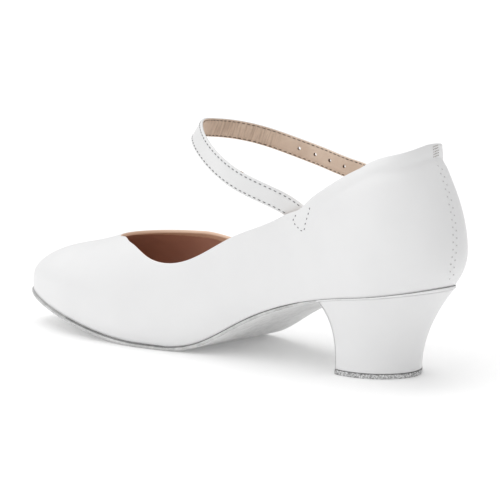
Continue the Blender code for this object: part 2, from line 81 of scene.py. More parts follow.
Section = namedtuple("Section", "at medial lateral crown widest tuck")
SECTIONS = (
    Section(0.155, 0.384, 0.354, 0.888, 0.24, 24),
    Section(0.25, 0.374, 0.376, 0.995, 0.24, 25),
    Section(0.35, 0.364, 0.392, 1.010, 0.22, 26),
    Section(0.45, 0.382, 0.420, 0.951, 0.20, 26),
    Section(0.55, 0.433, 0.474, 0.862, 0.18, 25),
    Section(0.65, 0.485, 0.509, 0.702, 0.15, 24),
    Section(0.75, 0.480, 0.500, 0.522, 0.14, 22),
    Section(0.85, 0.437, 0.440, 0.388, 0.12, 20),
    Section(0.93, 0.373, 0.365, 0.333, 0.10, 18),
    Section(1.00, 0.303, 0.280, 0.280, 0.08, 16),
)
Tread = namedtuple("Tread", "at rise thickness margin")
TREADS = (
    Tread(0.00, 1.000, 0.30, 0.0003),
    Tread(0.12, 0.890, 0.30, 0.0003),
    Tread(0.22, 0.799, 0.35, 0.0002),
    Tread(0.32, 0.634, 0.80, 0.0000),
    Tread(0.42, 0.383, 1.00, 0.0002),
    Tread(0.52, 0.077, 1.00, 0.0006),
    Tread(0.62, 0.002, 1.00, 0.0008),
    Tread(0.70, 0.028, 1.00, 0.0008),
    Tread(0.80, 0.119, 1.00, 0.0008),
    Tread(0.90, 0.222, 1.00, 0.0008),
    Tread(1.00, 0.322, 1.00, 0.0008),
)
Collar = namedtuple("Collar", "at medial lateral")
COLLARS = (
    Collar(0.00, 1.000, 1.000),
    Collar(0.05, 0.971, 0.978),
    Collar(0.12, 0.933, 0.915),
    Collar(0.24, 0.771, 0.800),
    Collar(0.34, 0.629, 0.666),
    Collar(0.44, 0.530, 0.552),
    Collar(0.54, 0.405, 0.454),
    Collar(0.62, 0.395, 0.409),
    Collar(0.69, 0.4395, 0.4385),
)


def spline(places, values):
    """Smooth curve through the table's values, straight at both ends and held beyond them."""
    places = np.asarray(places, float)
    values = np.asarray(values, float)
    gaps = np.diff(places)
    count = len(places)
    left_side = np.eye(count)
    right_side = np.zeros_like(values)
    for i in range(1, count - 1):
        left_side[i, i - 1:i + 2] = gaps[i - 1], 2 * (gaps[i - 1] + gaps[i]), gaps[i]
        right_side[i] = 6 * ((values[i + 1] - values[i]) / gaps[i]
                             - (values[i] - values[i - 1]) / gaps[i - 1])
    bends = np.linalg.solve(left_side, right_side)

    def at(place):
        place = min(max(place, places[0]), places[-1])
        i = min(max(int(np.searchsorted(places, place)) - 1, 0), count - 2)
        past, left = place - places[i], places[i + 1] - place
        gap = gaps[i]
        return ((bends[i] * left ** 3 + bends[i + 1] * past ** 3) / (6 * gap)
                + (values[i] / gap - bends[i] * gap / 6) * left
                + (values[i + 1] / gap - bends[i + 1] * gap / 6) * past)
    return at


def run_along(points):
    """Length along a line from its first point to each of its points."""
    steps = np.linalg.norm(np.diff(points, axis=0), axis=1)
    return np.concatenate([[0.0], np.cumsum(steps)])


def column(table, name, unit=1.0):
    """A table's named column as a smooth function of x."""
    return spline([row.at * SHOE_LENGTH for row in table],
                  [getattr(row, name) * unit for row in table])


SEAT_CENTRE = SEAT_CENTRE_AT * SHOE_LENGTH
THROAT = THROAT_AT * SHOE_LENGTH
OPENING_END = OPENING_END_AT * SHOE_LENGTH
TOE_START = TOE_ROUND_AT * SHOE_LENGTH
TOP_START = CROWN_ROUND_AT * SHOE_LENGTH
COLLAR_END = COLLARS[-1].at * SHOE_LENGTH
half_width = {side: column(SECTIONS, side, BALL_WIDTH) for side in ("medial", "lateral")}
crown = column(SECTIONS, "crown", INSTEP_HEIGHT)
widest = column(SECTIONS, "widest", INSTEP_HEIGHT)
tuck = column(SECTIONS, "tuck")
curve_of_rise = column(TREADS, "rise", HEEL_HEIGHT)
thickness = column(TREADS, "thickness", SOLE_THICKNESS)
mirrored_end = COLLARS[-2]._replace(at=2 * COLLARS[-1].at - COLLARS[-2].at)
collar = {side: column(COLLARS + (mirrored_end,), side, COLLAR_HEIGHT)
          for side in ("medial", "lateral")}


def rise(x):
    """Height of the sole's underside, cut flat where the ball of the foot treads."""
    return max(curve_of_rise(x) - FLAT_DEPTH, 0.0)


def feather(x):
    """Height of the edge where the upper meets the sole."""
    return rise(x) + thickness(x)


def rounded(x, start, power):
    """Shrinks from 1 to 0 between start and the tip of the toe."""
    share = min(max((x - start) / (SHOE_LENGTH - start), 0.0), 1.0)
    return (1 - share ** power) ** (1 / power)


def middle(x):
    """Middle line of the last, which swings in towards the big toe."""
    return TOE_SWING_SHARE * BALL_WIDTH * min(max(2 * x / SHOE_LENGTH - 1, 0.0), 1.0) ** 2


def crown_height(x):
    """Top of the last above the feather edge."""
    return crown(x) * rounded(x, TOP_START, CROWN_ROUND)


def topline(x, side):
    """Height of the topline; it climbs towards the crown and is gone past the opening."""
    if x <= COLLAR_END:
        return collar[side](x)
    if x >= OPENING_END:
        return 1.0
    left = (THROAT - x) / (THROAT - COLLAR_END)
    start = collar[side](COLLAR_END)
    end = feather(THROAT) + crown_height(THROAT)
    return start + (end - start) * (1 - left ** (1 / THROAT_SQUARENESS)) ** THROAT_RISE


def collar_limit(x):
    """Share of the crown that the topline stays under; the opening ends where it is all."""
    progress = min(max((x - COLLAR_END) / (OPENING_END - COLLAR_END), 0.0), 1.0)
    return COLLAR_LIMIT + (1 - COLLAR_LIMIT) * progress ** 2


def rib(foot, heading, reach, base, broad, top, fullness, tuck_angle, cut, flare, inset, count):
    """Half a section, from the feather edge up to the topline or the crown."""
    share = min(max(cut - broad, 0.0) / max(top - broad, 1e-9), 1.0)
    last_turn = math.asin(share ** (fullness / 2))
    reach = reach - inset
    top = top - inset
    tucked = math.radians(tuck_angle)
    points = []
    for turn in np.linspace(-tucked, last_turn, count):
        sine, cosine = math.sin(turn), max(math.cos(turn), 0.0)
        if turn < 0:
            out = reach * cosine
            z = broad * (1 - sine / math.sin(-tucked))
        else:
            out = reach * (cosine if cosine > 1e-9 else 0.0) ** (2 / fullness)
            z = broad + (top - broad) * sine ** (2 / fullness)
            out += flare * (min(max((z - broad) / (cut - broad), 0.0), 1.0)) ** FLARE_SHARPNESS
        points.append((foot[0] + heading[0] * out, foot[1] + heading[1] * out, base + z))
    return points


def side_stations(body_ribs, throat_ribs, toe_ribs):
    """Planes of the ribs ahead of the seat: body, throat and toe."""
    body = np.linspace(SEAT_CENTRE, COLLAR_END, body_ribs)
    throat = OPENING_END - (OPENING_END - COLLAR_END) * np.linspace(1, 0, throat_ribs) ** 2
    toe_round = SHOE_LENGTH - TOE_START
    turn = math.asin((OPENING_END - TOE_START) / toe_round)
    toe = TOE_START + toe_round * np.sin(np.linspace(turn, math.pi / 2, toe_ribs))
    return list(body) + list(throat[1:]) + list(toe[1:])


STRAP_DIP, STRAP_DIP_AT, STRAP_DIP_REACH = 0.0018, 0.0685, 0.0048
THROAT_LIFT, THROAT_LIFT_AT, THROAT_LIFT_REACH = 0.0011, 0.1785, 0.0062


def topline_ease(x, side):
    """How far the inner side's edge sits below the even topline: a dip at the strap's root
    and a small lift beside the throat."""
    if side != "medial":
        return 0.0
    return (STRAP_DIP * math.exp(-((x - STRAP_DIP_AT) / STRAP_DIP_REACH) ** 2)
            - THROAT_LIFT * math.exp(-((x - THROAT_LIFT_AT) / THROAT_LIFT_REACH) ** 2))


def wall_ribs(side, inset, fineness, count, edge_roll=0.0):
    """Ribs of one side from the back seam to the tip, moved in by inset for the inner face."""
    counter_ribs, body_ribs, throat_ribs, toe_ribs = fineness
    sign = 1 if side == "medial" else -1
    seat_half_width = half_width[side](SEAT_CENTRE)
    ribs = []
    for share in np.linspace(0, 1, counter_ribs)[:-1]:
        turn = math.pi - math.pi / 2 * share ** 1.4
        cosine, sine = math.cos(turn), math.sin(turn)
        reach = 1 / math.hypot(cosine / SEAT_CENTRE, sine / seat_half_width)
        backward = cosine * cosine
        x = max(SEAT_CENTRE + reach * cosine, 0.0)
        base = feather(x)
        mixed = [a * (1 - backward) + b * backward for a, b in (
            (widest(SEAT_CENTRE), COUNTER_WIDEST * INSTEP_HEIGHT),
            (crown(SEAT_CENTRE), COUNTER_CROWN * INSTEP_HEIGHT),
            (BODY_FULLNESS, COUNTER_FULLNESS), (SEAT_TUCK, COUNTER_TUCK))]
        ribs.append(rib((SEAT_CENTRE, 0), (cosine, sine * sign), reach, base, mixed[0], mixed[1],
                        mixed[2], mixed[3], collar[side](x) - base - edge_roll,
                        COUNTER_FLARE * INSTEP_HEIGHT * backward, inset, count))
    for x in side_stations(body_ribs, throat_ribs, toe_ribs):
        full = crown_height(x)
        base = feather(x)
        narrowing = rounded(x, TOE_START, WIDTH_ROUND)
        broad = min(widest(x), 0.45 * full)
        angle = tuck(x)
        if x < TUCK_SETTLES_AT * SHOE_LENGTH:
            share = (x - SEAT_CENTRE) / (TUCK_SETTLES_AT * SHOE_LENGTH - SEAT_CENTRE)
            angle = SEAT_TUCK + (angle - SEAT_TUCK) * share
        crowned = rounded(x, TOP_START, CROWN_ROUND)
        place = x
        if x > TOE_START:
            place = TOE_START + (x - TOE_START) * (1 - inset / (SHOE_LENGTH - TOE_START))
        edge = topline(x, side) - base
        if x < OPENING_END - 1e-9:
            left = min((OPENING_END - x) / (OPENING_END - COLLAR_END), 1.0)
            edge = min(edge, collar_limit(x) * full) - edge_roll * left ** 0.5
            if edge_roll:
                edge -= topline_ease(x, side)
        ribs.append(rib((place, middle(x)), (0, sign), half_width[side](x) * narrowing, base,
                        broad, full, BODY_FULLNESS, angle, edge, 0.0,
                        inset * min(narrowing, crowned), count))
    return ribs


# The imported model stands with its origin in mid-footprint, so everything is moved the same way
low_corner, high_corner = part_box("heel_top_piece")
SHIFT = np.array([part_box("upper")[0][0], (low_corner[1] + high_corner[1]) / 2, 0.0])

UPPER_FINENESS = (46, 84, 26, 44)
UPPER_POINTS = 44
EDGE_STEPS = 8
EDGE_ROLL = 0.0006
WHITE_EDGE_BEHIND, WHITE_EDGE_AHEAD = 0.5, 0.15
LINING_JOINT_AT = 0.50
HIDDEN_DEPTH, WALL_FOOT_DEPTH = 0.02, 0.05
COLLAR_TROUGH, TROUGH_BELOW_EDGE, TROUGH_REACH = 0.0009, 0.0068, 0.0026
TROUGH_ENDS, TROUGH_FADE = 0.058, 0.030
COLLAR_SOFTENING, SOFTENING_REACH = 0.0007, 0.0024
SEAM_GROOVE, SEAM_REACH = 0.00018, 0.0007
SEAM_HEIGHTS = (0.040, 0.054, 0.066, 0.080, 0.095, 0.107)
SEAM_SIDEWAYS = (0.0044, 0.0031, 0.0013, -0.0006, -0.0026, -0.0026)
PUCKERS = ((0.0742, 0.0680, 0.00055, 0.0013), (0.0712, 0.0686, 0.00045, 0.0013),
           (0.0727, 0.0660, -0.00025, 0.0016))


def seam_drift(z):
    """Sideways place of the back seam at a height; it wanders a little from the middle."""
    return np.interp(z, SEAM_HEIGHTS, SEAM_SIDEWAYS)


def shaped_outer(rows, side):
    """The counter's soft trough under the collar, the back seam's groove and the strap's pucker."""
    shaped = []
    for row in rows:
        row = np.array(row)
        below = run_along(row[::-1])[::-1]
        edge = row[-1]
        way = np.array([min(row[0][0] - SEAT_CENTRE, 0.0), row[0][1], 0.0])
        way /= max(np.linalg.norm(way), 1e-9)
        heelward = min(max((TROUGH_ENDS - edge[0]) / TROUGH_FADE, 0.0), 1.0)
        trough = COLLAR_TROUGH * np.exp(-((below - TROUGH_BELOW_EDGE) / TROUGH_REACH) ** 2)
        trough += COLLAR_SOFTENING * np.exp(-(below / SOFTENING_REACH) ** 2)
        groove = SEAM_GROOVE * np.exp(-((row[:, 1] - seam_drift(row[:, 2])) / SEAM_REACH) ** 2)
        dents = heelward * trough + groove * (row[:, 0] < SEAT_CENTRE)
        if side == "medial":
            for x, z, depth, reach in PUCKERS:
                dents = dents + depth * np.exp(-((row[:, 0] - x) ** 2 + (row[:, 2] - z) ** 2)
                                               / reach ** 2)
        row -= way * dents[:, None]
        shaped.append(row)
    return shaped


def placed(name, data):
    """A new object in the scene, at the origin."""
    made = bpy.data.objects.new(name, data)
    bpy.context.scene.collection.objects.link(made)
    return made


def mesh_of(name, built):
    """The mesh that was being built, which is then let go."""
    mesh = bpy.data.meshes.new(name)
    built.to_mesh(mesh)
    built.free()
    return mesh


def finished(name, points, faces, materials, slots=None, attributes=None):
    """Smooth mesh object with doubled points joined and its faces turned out."""
    built = bmesh.new()
    layers = {key: built.verts.layers.float.new(key) for key in (attributes or {})}
    corners = []
    for i, point in enumerate(points):
        corner = built.verts.new(point)
        for key, layer in layers.items():
            corner[layer] = attributes[key][i]
        corners.append(corner)
    for i, face in enumerate(faces):
        made = built.faces.new([corners[k] for k in face])
        made.smooth = True
        made.material_index = slots[i] if slots else 0
    bmesh.ops.remove_doubles(built, verts=built.verts, dist=2e-6)
    bmesh.ops.recalc_face_normals(built, faces=built.faces)
    mesh = mesh_of(name, built)
    for material in materials:
        mesh.materials.append(material)
    return placed(name, mesh)


def quads(rows, across, start=0, ring=True, loop=False):
    """Faces between rows of points, with each one's row and place across. A ring's rows are
    closed, and a loop's last row meets its first."""
    for i in range(rows if loop else rows - 1):
        this, following = start + i * across, start + (i + 1) % rows * across
        for j in range(across if ring else across - 1):
            k = (j + 1) % across
            yield i, j, (this + j, following + j, following + k, this + k)


def link(tree, source, target):
    tree.links.new(source, target)


def add(tree, kind, **values):
    """A node with its settings and sockets set; words_like_this stand for Socket Names."""
    made = tree.nodes.new(kind)
    for key, value in values.items():
        if hasattr(made, key) and key not in ("inputs", "outputs"):
            setattr(made, key, value)
        else:
            made.inputs[key.replace("_", " ")].default_value = value
    return made


def surface(name, colour, roughness):
    """A material with a plain shader, its tree and its shader."""
    material = bpy.data.materials.new(name)
    material.use_nodes = True
    shader = material.node_tree.nodes["Principled BSDF"]
    shader.inputs["Base Color"].default_value = (*colour, 1)
    shader.inputs["Roughness"].default_value = roughness
    return material, material.node_tree, shader


def blend_colour(tree, factor, first, second):
    """Mixes two colours by a factor socket and returns the result socket."""
    mix = add(tree, "ShaderNodeMix", data_type="RGBA")
    for socket, colour in ((mix.inputs[6], first), (mix.inputs[7], second)):
        if hasattr(colour, "is_linked"):
            link(tree, colour, socket)
        else:
            socket.default_value = (*colour, 1)
    link(tree, factor, mix.inputs[0])
    return mix.outputs[2]


def span(tree, source, low, high, to_low=0.0, to_high=1.0):
    """Maps a socket from one span to another, clamped."""
    mapped = add(tree, "ShaderNodeMapRange", From_Min=low, From_Max=high, To_Min=to_low,
                 To_Max=to_high)
    link(tree, source, mapped.inputs["Value"])
    return mapped.outputs["Result"]


def noise(tree, scale, detail, roughness=0.5):
    """Strength of a noise texture in the object's own coordinates."""
    made = add(tree, "ShaderNodeTexNoise", Scale=scale, Detail=detail, Roughness=roughness)
    link(tree, object_place(tree), made.inputs["Vector"])
    return made.outputs["Fac"]


def object_place(tree):
    """The object's own coordinates."""
    return add(tree, "ShaderNodeTexCoord").outputs["Object"]


def calc(tree, operation, *values):
    """A math node over sockets and numbers."""
    made = add(tree, "ShaderNodeMath", operation=operation)
    for socket, value in zip(made.inputs, values):
        if hasattr(value, "is_linked"):
            link(tree, value, socket)
        else:
            socket.default_value = value
    return made.outputs[0]


def relief(tree, shader, height, strength, distance):
    """Bump on a shader from a height socket."""
    bump = add(tree, "ShaderNodeBump", Strength=strength, Distance=distance)
    link(tree, height, bump.inputs["Height"])
    link(tree, bump.outputs["Normal"], shader.inputs["Normal"])


def smooth_leather(name, light, dark, roughness, grain):
    """Finished leather: faint uneven colour, fine pores, and a soft finish coat."""
    material, tree, shader = surface(name, light, roughness)
    cloud = noise(tree, 38.0, 3.0, 0.55)
    fine = noise(tree, 900.0, 4.0, 0.6)
    pores = add(tree, "ShaderNodeTexVoronoi", feature="SMOOTH_F1", Scale=1500.0)
    link(tree, object_place(tree), pores.inputs["Vector"])
    link(tree, blend_colour(tree, span(tree, cloud, 0.3, 0.7), dark, light),
         shader.inputs["Base Color"])
    relief(tree, shader, calc(tree, "ADD", pores.outputs["Distance"], fine), grain, 0.00012)
    link(tree, span(tree, fine, 0.3, 0.7, roughness - 0.05, roughness + 0.05),
         shader.inputs["Roughness"])
    shader.inputs["Coat Weight"].default_value = 0.12
    shader.inputs["Coat Roughness"].default_value = 0.32
    return material


def lining_surface():
    """Tan vamp lining at the turned edge, painted browner and darker below it as the shade inside
    the shoe, and a pale tan quarter lining behind it.
    """
    material, tree, shader = surface("tan_lining_with_painted_shade", (0.5, 0.3, 0.2), 0.75)
    axes = add(tree, "ShaderNodeSeparateXYZ")
    link(tree, object_place(tree), axes.inputs[0])
    patch = noise(tree, 60.0, 3.0)
    depth = add(tree, "ShaderNodeAttribute", attribute_name="below_edge").outputs["Fac"]
    ragged = calc(tree, "MULTIPLY_ADD", noise(tree, 420.0, 4.0), 0.0016, depth)
    # Painted shade: below the tan band at the edge the vamp lining turns browner, and darker still
    # the deeper it lies, as the shade inside the shoe.
    painted_shade_brown = blend_colour(tree, span(tree, depth, 0.003, 0.022), (0.64, 0.36, 0.28),
                         (0.48, 0.25, 0.19))
    painted_shade_brown = blend_colour(tree, span(tree, patch, 0.35, 0.65), painted_shade_brown, (0.53, 0.285, 0.22))
    vamp = blend_colour(tree, span(tree, ragged, 0.0026, 0.0038), (0.86, 0.62, 0.47), painted_shade_brown)
    quarter = blend_colour(tree, span(tree, patch, 0.3, 0.7), (0.66, 0.50, 0.39),
                           (0.72, 0.57, 0.46))
    joint = span(tree, axes.outputs["X"], LINING_JOINT - 0.0003, LINING_JOINT + 0.0003)
    link(tree, blend_colour(tree, joint, quarter, vamp), shader.inputs["Base Color"])
    relief(tree, shader, noise(tree, 2200.0, 3.0), 0.35, 0.0002)
    shader.inputs["Sheen Weight"].default_value = 0.15
    return material


LINING_JOINT = LINING_JOINT_AT * SHOE_LENGTH + SHIFT[0]
WHITE = (0.80, 0.80, 0.802)
WHITE_SHADE = (0.775, 0.775, 0.778)
white_leather = smooth_leather("white_smooth_leather", WHITE, WHITE_SHADE, 0.42, 0.10)
lining = lining_surface()


def make_upper():
    """Outer face, rolled edge and inner face of the shell, joined all round."""
    points, faces, slots, depths = [], [], [], []
    edges = {}
    for side in ("medial", "lateral"):
        outer = shaped_outer(wall_ribs(side, 0.0, UPPER_FINENESS, UPPER_POINTS, EDGE_ROLL), side)
        inner = [np.array(row) for row in
                 wall_ribs(side, WALL, UPPER_FINENESS, UPPER_POINTS, EDGE_ROLL)]
        for rows, slot in ((outer, 0), (inner, 1)):
            start = len(points)
            for row in rows:
                covered = HIDDEN_DEPTH if row[-1][0] > OPENING_END - 1e-6 else 0.0
                points.extend(row + SHIFT)
                depths.extend(run_along(row[::-1])[::-1] + covered)
            for _, _, face in quads(len(rows), UPPER_POINTS, start, ring=False):
                faces.append(face)
                slots.append(slot)
        start = len(points)
        for row_out, row_in in zip(outer, inner):
            points.extend([row_out[0] + SHIFT, row_in[0] + SHIFT])
            depths.extend([WALL_FOOT_DEPTH, WALL_FOOT_DEPTH])
        for _, _, face in quads(len(outer), 2, start, ring=False):
            faces.append(face)
            slots.append(0)
        throat = next(i for i, row in enumerate(outer)
                      if i > UPPER_FINENESS[0] and row[-1][0] > OPENING_END - 1e-7)
        edges[side] = [(outer[i][-1], inner[i][-1]) for i in range(throat + 1)]
    loop = edges["medial"] + edges["lateral"][-2:0:-1]
    centres = np.array([(out + within) / 2 for out, within in loop])
    halves = np.array([(out - within) / 2 for out, within in loop])
    ahead = np.roll(centres, -1, axis=0) - np.roll(centres, 1, axis=0)
    risen = np.cross(ahead, halves)
    risen /= np.linalg.norm(risen, axis=1)[:, None]
    start = len(points)
    turns = np.linspace(0, math.pi, EDGE_STEPS + 1)
    for centre, half, up in zip(centres, halves, risen):
        for turn in turns:
            across = math.copysign(abs(math.cos(turn)) ** 0.7, math.cos(turn))
            points.append(centre + half * across + up * EDGE_ROLL * math.sin(turn) ** 0.7
                          + SHIFT)
            depths.append(0.0)
    for i, j, face in quads(len(loop), EDGE_STEPS + 1, start, ring=False, loop=True):
        faces.append(face)
        behind = centres[i][0] < LINING_JOINT_AT * SHOE_LENGTH
        white = WHITE_EDGE_BEHIND if behind else WHITE_EDGE_AHEAD
        slots.append(0 if j < white * EDGE_STEPS else 1)
    return finished("upper_leather_and_lining", points, faces, [white_leather, lining], slots,
                    {"below_edge": depths})


upper = make_upper()
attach(upper, "root")
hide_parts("upper")


# The insole: a board covered with a tan leather sock, lying on the lasted edge of the upper.
# Its edge follows the inner wall.
SHEET_FINENESS = (30, 60, 16, 34)
ACROSS_STEPS = 10


def outline(side, inset, grow, lift):
    """Plan line of the feather edge from back to tip, moved outward by grow."""
    rows = wall_ribs(side, inset, SHEET_FINENESS, 3)
    line = np.array([points[0] for points in rows])
    sign = 1 if side == "medial" else -1
    ways = np.gradient(line[:, :2], axis=0)
    normals = np.stack([-ways[:, 1] * sign, ways[:, 0] * sign], axis=1)
    normals[0] = (-1, 0)
    normals[-1] = (1, 0)
    normals /= np.linalg.norm(normals, axis=1)[:, None]
    for i, (x, _, height) in enumerate(line.copy()):
        line[i, :2] += normals[i] * grow(x)
        place = min(max(line[i, 0], 0.0), SHOE_LENGTH)
        raised = min(max((lift(place) - rise(place)) / thickness(place), 0.0), 1.0)
        line[i, 2] = lift(place) + (height - feather(min(max(x, 0.0), SHOE_LENGTH))) * raised
    return line


def make_sheet(name, inset, profile, materials, slot_of=lambda j, x: 0):
    """Sheet along the sole's curve; profile gives (grow, height) pairs from under edge to over."""
    sides = {side: [outline(side, inset, grow, lift) for grow, lift in profile]
             for side in ("medial", "lateral")}
    rows = []
    for i in range(len(sides["medial"][0])):
        row = [line[i] for line in sides["medial"]]
        left, right = sides["medial"][-1][i], sides["lateral"][-1][i]
        row += [left + (right - left) * s for s in np.linspace(0, 1, ACROSS_STEPS + 1)[1:-1]]
        row += [line[i] for line in sides["lateral"][::-1]]
        left, right = sides["lateral"][0][i], sides["medial"][0][i]
        row += [left + (right - left) * s for s in np.linspace(0, 1, ACROSS_STEPS + 1)[1:-1]]
        rows.append(row)
    faces, slots = [], []
    for i, j, face in quads(len(rows), len(rows[0])):
        faces.append(face)
        slots.append(slot_of(j, rows[i][j][0]))
    points = [np.array(point) + SHIFT for row in rows for point in row]
    return finished(name, points, faces, materials, slots)


sock_leather = smooth_leather("tan_sock_leather", (0.62, 0.45, 0.33), (0.55, 0.385, 0.275),
                              0.6, 0.25)
insole = make_sheet(
    "insole_sock", WALL,
    [(lambda x: -0.0006, lambda x: feather(x) + 0.0001),
     (lambda x: -0.00035, lambda x: feather(x) + 0.0005),
     (lambda x: -0.00035, lambda x: feather(x) + 0.0012),
     (lambda x: -0.0008, lambda x: feather(x) + 0.0016)],
    [sock_leather])
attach(insole, "root")
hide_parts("insole")


# The outsole: one sheet of grey suede, full length, cemented under the lasted upper. It thins
# over the heel seat, and the top of its cut edge, where it meets the leather, is painted dark
# as the shadow in the gap there.


def suede_surface(name, light, dark, strength):
    """Napped suede: blotches of two greys, short fibres, and no gloss."""
    material, tree, shader = surface(name, light, 0.95)
    blotch = noise(tree, 260.0, 5.0, 0.7)
    colour = blend_colour(tree, span(tree, blotch, 0.35, 0.65), dark, light)
    paler = tuple(min(value * 1.12, 1.0) for value in light)
    colour = blend_colour(tree, span(tree, noise(tree, 45.0, 2.0), 0.45, 0.75, 0.0, 0.6), colour,
                          paler)
    link(tree, colour, shader.inputs["Base Color"])
    relief(tree, shader, calc(tree, "ADD", blotch, noise(tree, 2600.0, 4.0, 0.7)), strength,
           0.00035)
    shader.inputs["Sheen Weight"].default_value = 0.25
    shader.inputs["Specular IOR Level"].default_value = 0.2
    return material


suede = suede_surface("grey_suede", (0.90, 0.90, 0.895), (0.74, 0.74, 0.735), 0.7)
suede_edge = suede_surface("cut_suede_edge", (0.70, 0.70, 0.695), (0.48, 0.48, 0.475), 0.8)
# Painted shadow: the two groove greys colour the top of the sole's edge under the upper as the
# shadow in the gap, darkest along the middle of the shoe.
shadow_groove_suede = suede_surface("painted_shadow_edge_groove", (0.30, 0.30, 0.30), (0.17, 0.17, 0.17), 0.5)
faint_shadow_groove_suede = suede_surface("faint_painted_shadow_edge_groove", (0.50, 0.50, 0.50), (0.36, 0.36, 0.36), 0.5)
seat_edge = suede_surface("pale_seat_edge", (0.88, 0.88, 0.88), (0.80, 0.80, 0.80), 0.2)
BREAST_TOP = 0.236 * SHOE_LENGTH
GROOVE_SHADOW_FROM, GROOVE_SHADOW_TO = 0.28 * SHOE_LENGTH, 0.82 * SHOE_LENGTH
margin = column(TREADS, "margin")


def edge_round(x):
    """How far the lower corner of the edge is rounded: hardly at all where it sits on the heel."""
    return float(np.interp(x, (BREAST_TOP, BREAST_TOP + 0.006), (0.00004, 0.0007)))


SOLE_PROFILE = [
    (lambda x: margin(x) - edge_round(x), rise),
    (lambda x: margin(x) - 0.3 * edge_round(x), lambda x: rise(x) + 0.10 * thickness(x)),
    (margin, lambda x: rise(x) + 0.28 * thickness(x)),
    (margin, lambda x: rise(x) + 0.70 * thickness(x)),
    (lambda x: margin(x) - 0.00025, lambda x: rise(x) + 0.84 * thickness(x)),
    (lambda x: margin(x) - 0.0008, lambda x: feather(x) - 0.00002),
]


def sole_slot(j, x):
    """Which material each face across the sole takes: underside, edge or groove; the groove's dark
    grey is painted shadow.
    """
    far_edge = 2 * len(SOLE_PROFILE) + ACROSS_STEPS - 5
    if j < 3 or far_edge <= j < far_edge + 3:
        return 3 if x < BREAST_TOP else 1
    if j < far_edge:
        return 2 if GROOVE_SHADOW_FROM < x < GROOVE_SHADOW_TO else 4
    return 0


outsole = make_sheet("outsole_suede", 0.0, SOLE_PROFILE,
                     [suede, suede_edge, shadow_groove_suede, seat_edge, faint_shadow_groove_suede], sole_slot)
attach(outsole, "root")
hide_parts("outsole")


# The heel: a moulded block with a smooth white cover, screwed up through the seat. It sweeps in
# to a small D-shaped tread and flares out again under the seat.
FIT_GAP = 0.0003
TREAD_CENTRE = 0.1874 * SHOE_LENGTH
TREAD_HALF_LENGTH = 0.0224
TREAD_HALF_WIDTH = 0.0204
TREAD_CUT = 0.0069
TREAD_THICKNESS = 0.0019
BACK_SWEEP = 1.88
BREAST_SWEEP = 2.93
BREAST_HOLLOW = 0.0012
CORNER_RADIUS = 0.0013
SEAT_ROUND_SHARE = 0.62
BREAST_POINTS = 11
HEEL_POINTS = 46
HEEL_LEVELS = 44


def heel_outlines(side):
    """Matching lines at the seat and at the tread, from the back centre to the breast."""
    sign = 1 if side == "medial" else -1
    seat_half_width = half_width[side](SEAT_CENTRE)
    front_turn = math.acos(TREAD_CUT / TREAD_HALF_LENGTH)
    seat, tread = [], []
    for share in np.linspace(0, 1, HEEL_POINTS):
        if share < SEAT_ROUND_SHARE:
            turn = math.pi - share / SEAT_ROUND_SHARE * math.pi / 2
            cosine, sine = math.cos(turn), math.sin(turn)
            lean = math.radians(SEAT_TUCK + (COUNTER_TUCK - SEAT_TUCK) * cosine * cosine)
            reach = math.cos(lean) / math.hypot(cosine / SEAT_CENTRE, sine / seat_half_width)
            seat.append((SEAT_CENTRE + reach * cosine, reach * sine * sign))
        else:
            ahead = (share - SEAT_ROUND_SHARE) / (1 - SEAT_ROUND_SHARE)
            x = SEAT_CENTRE + (BREAST_TOP - SEAT_CENTRE) * ahead
            seat.append((x, half_width[side](x) * math.cos(math.radians(SEAT_TUCK)) * sign))
        turn = math.pi - share * (math.pi - front_turn)
        tread.append((TREAD_CENTRE + TREAD_HALF_LENGTH * math.cos(turn),
                      TREAD_HALF_WIDTH * math.sin(turn) * sign))
    return seat, tread


heel_lines = {side: heel_outlines(side) for side in ("medial", "lateral")}


def corner_arc(before, corner, after):
    """Points that round a corner off."""
    start = corner + (before - corner) * CORNER_RADIUS / np.linalg.norm(before - corner)
    end = corner + (after - corner) * CORNER_RADIUS / np.linalg.norm(after - corner)
    return [start * (1 - t) ** 2 + corner * 2 * t * (1 - t) + end * t * t
            for t in np.linspace(0, 1, 5)]


def heel_ring(level, shrink=0.0):
    """One closed line round the heel block; level 0 is the tread and 1 the seat."""
    lines = {}
    for side, (seat, tread) in heel_lines.items():
        line = []
        for i, (high, low) in enumerate(zip(seat, tread)):
            sweep = BACK_SWEEP + (BREAST_SWEEP - BACK_SWEEP) * (i / (HEEL_POINTS - 1)) ** 3
            mix = level ** sweep
            top = rise(max(high[0], 0.0)) - 0.00002
            floor = TREAD_THICKNESS + FIT_GAP
            line.append(np.array([low[0] + (high[0] - low[0]) * mix,
                                  low[1] + (high[1] - low[1]) * mix,
                                  floor + (top - floor) * level]))
        lines[side] = line
    a, b = lines["medial"][-1], lines["lateral"][-1]
    breast = []
    for share in np.linspace(0, 1, BREAST_POINTS + 2)[1:-1]:
        point = a + (b - a) * share
        point[0] -= BREAST_HOLLOW * math.sin(math.pi * share)
        breast.append(point)
    ring = lines["medial"][:-1] + corner_arc(lines["medial"][-2], a, breast[0]) + breast
    ring += corner_arc(breast[-1], b, lines["lateral"][-2]) + lines["lateral"][-2:0:-1]
    ring = np.array(ring)
    if shrink:
        centre = ring.mean(axis=0)
        ways = centre - ring
        ways[:, 2] = 0
        ring = ring + ways / np.linalg.norm(ways, axis=1)[:, None] * shrink
    return ring


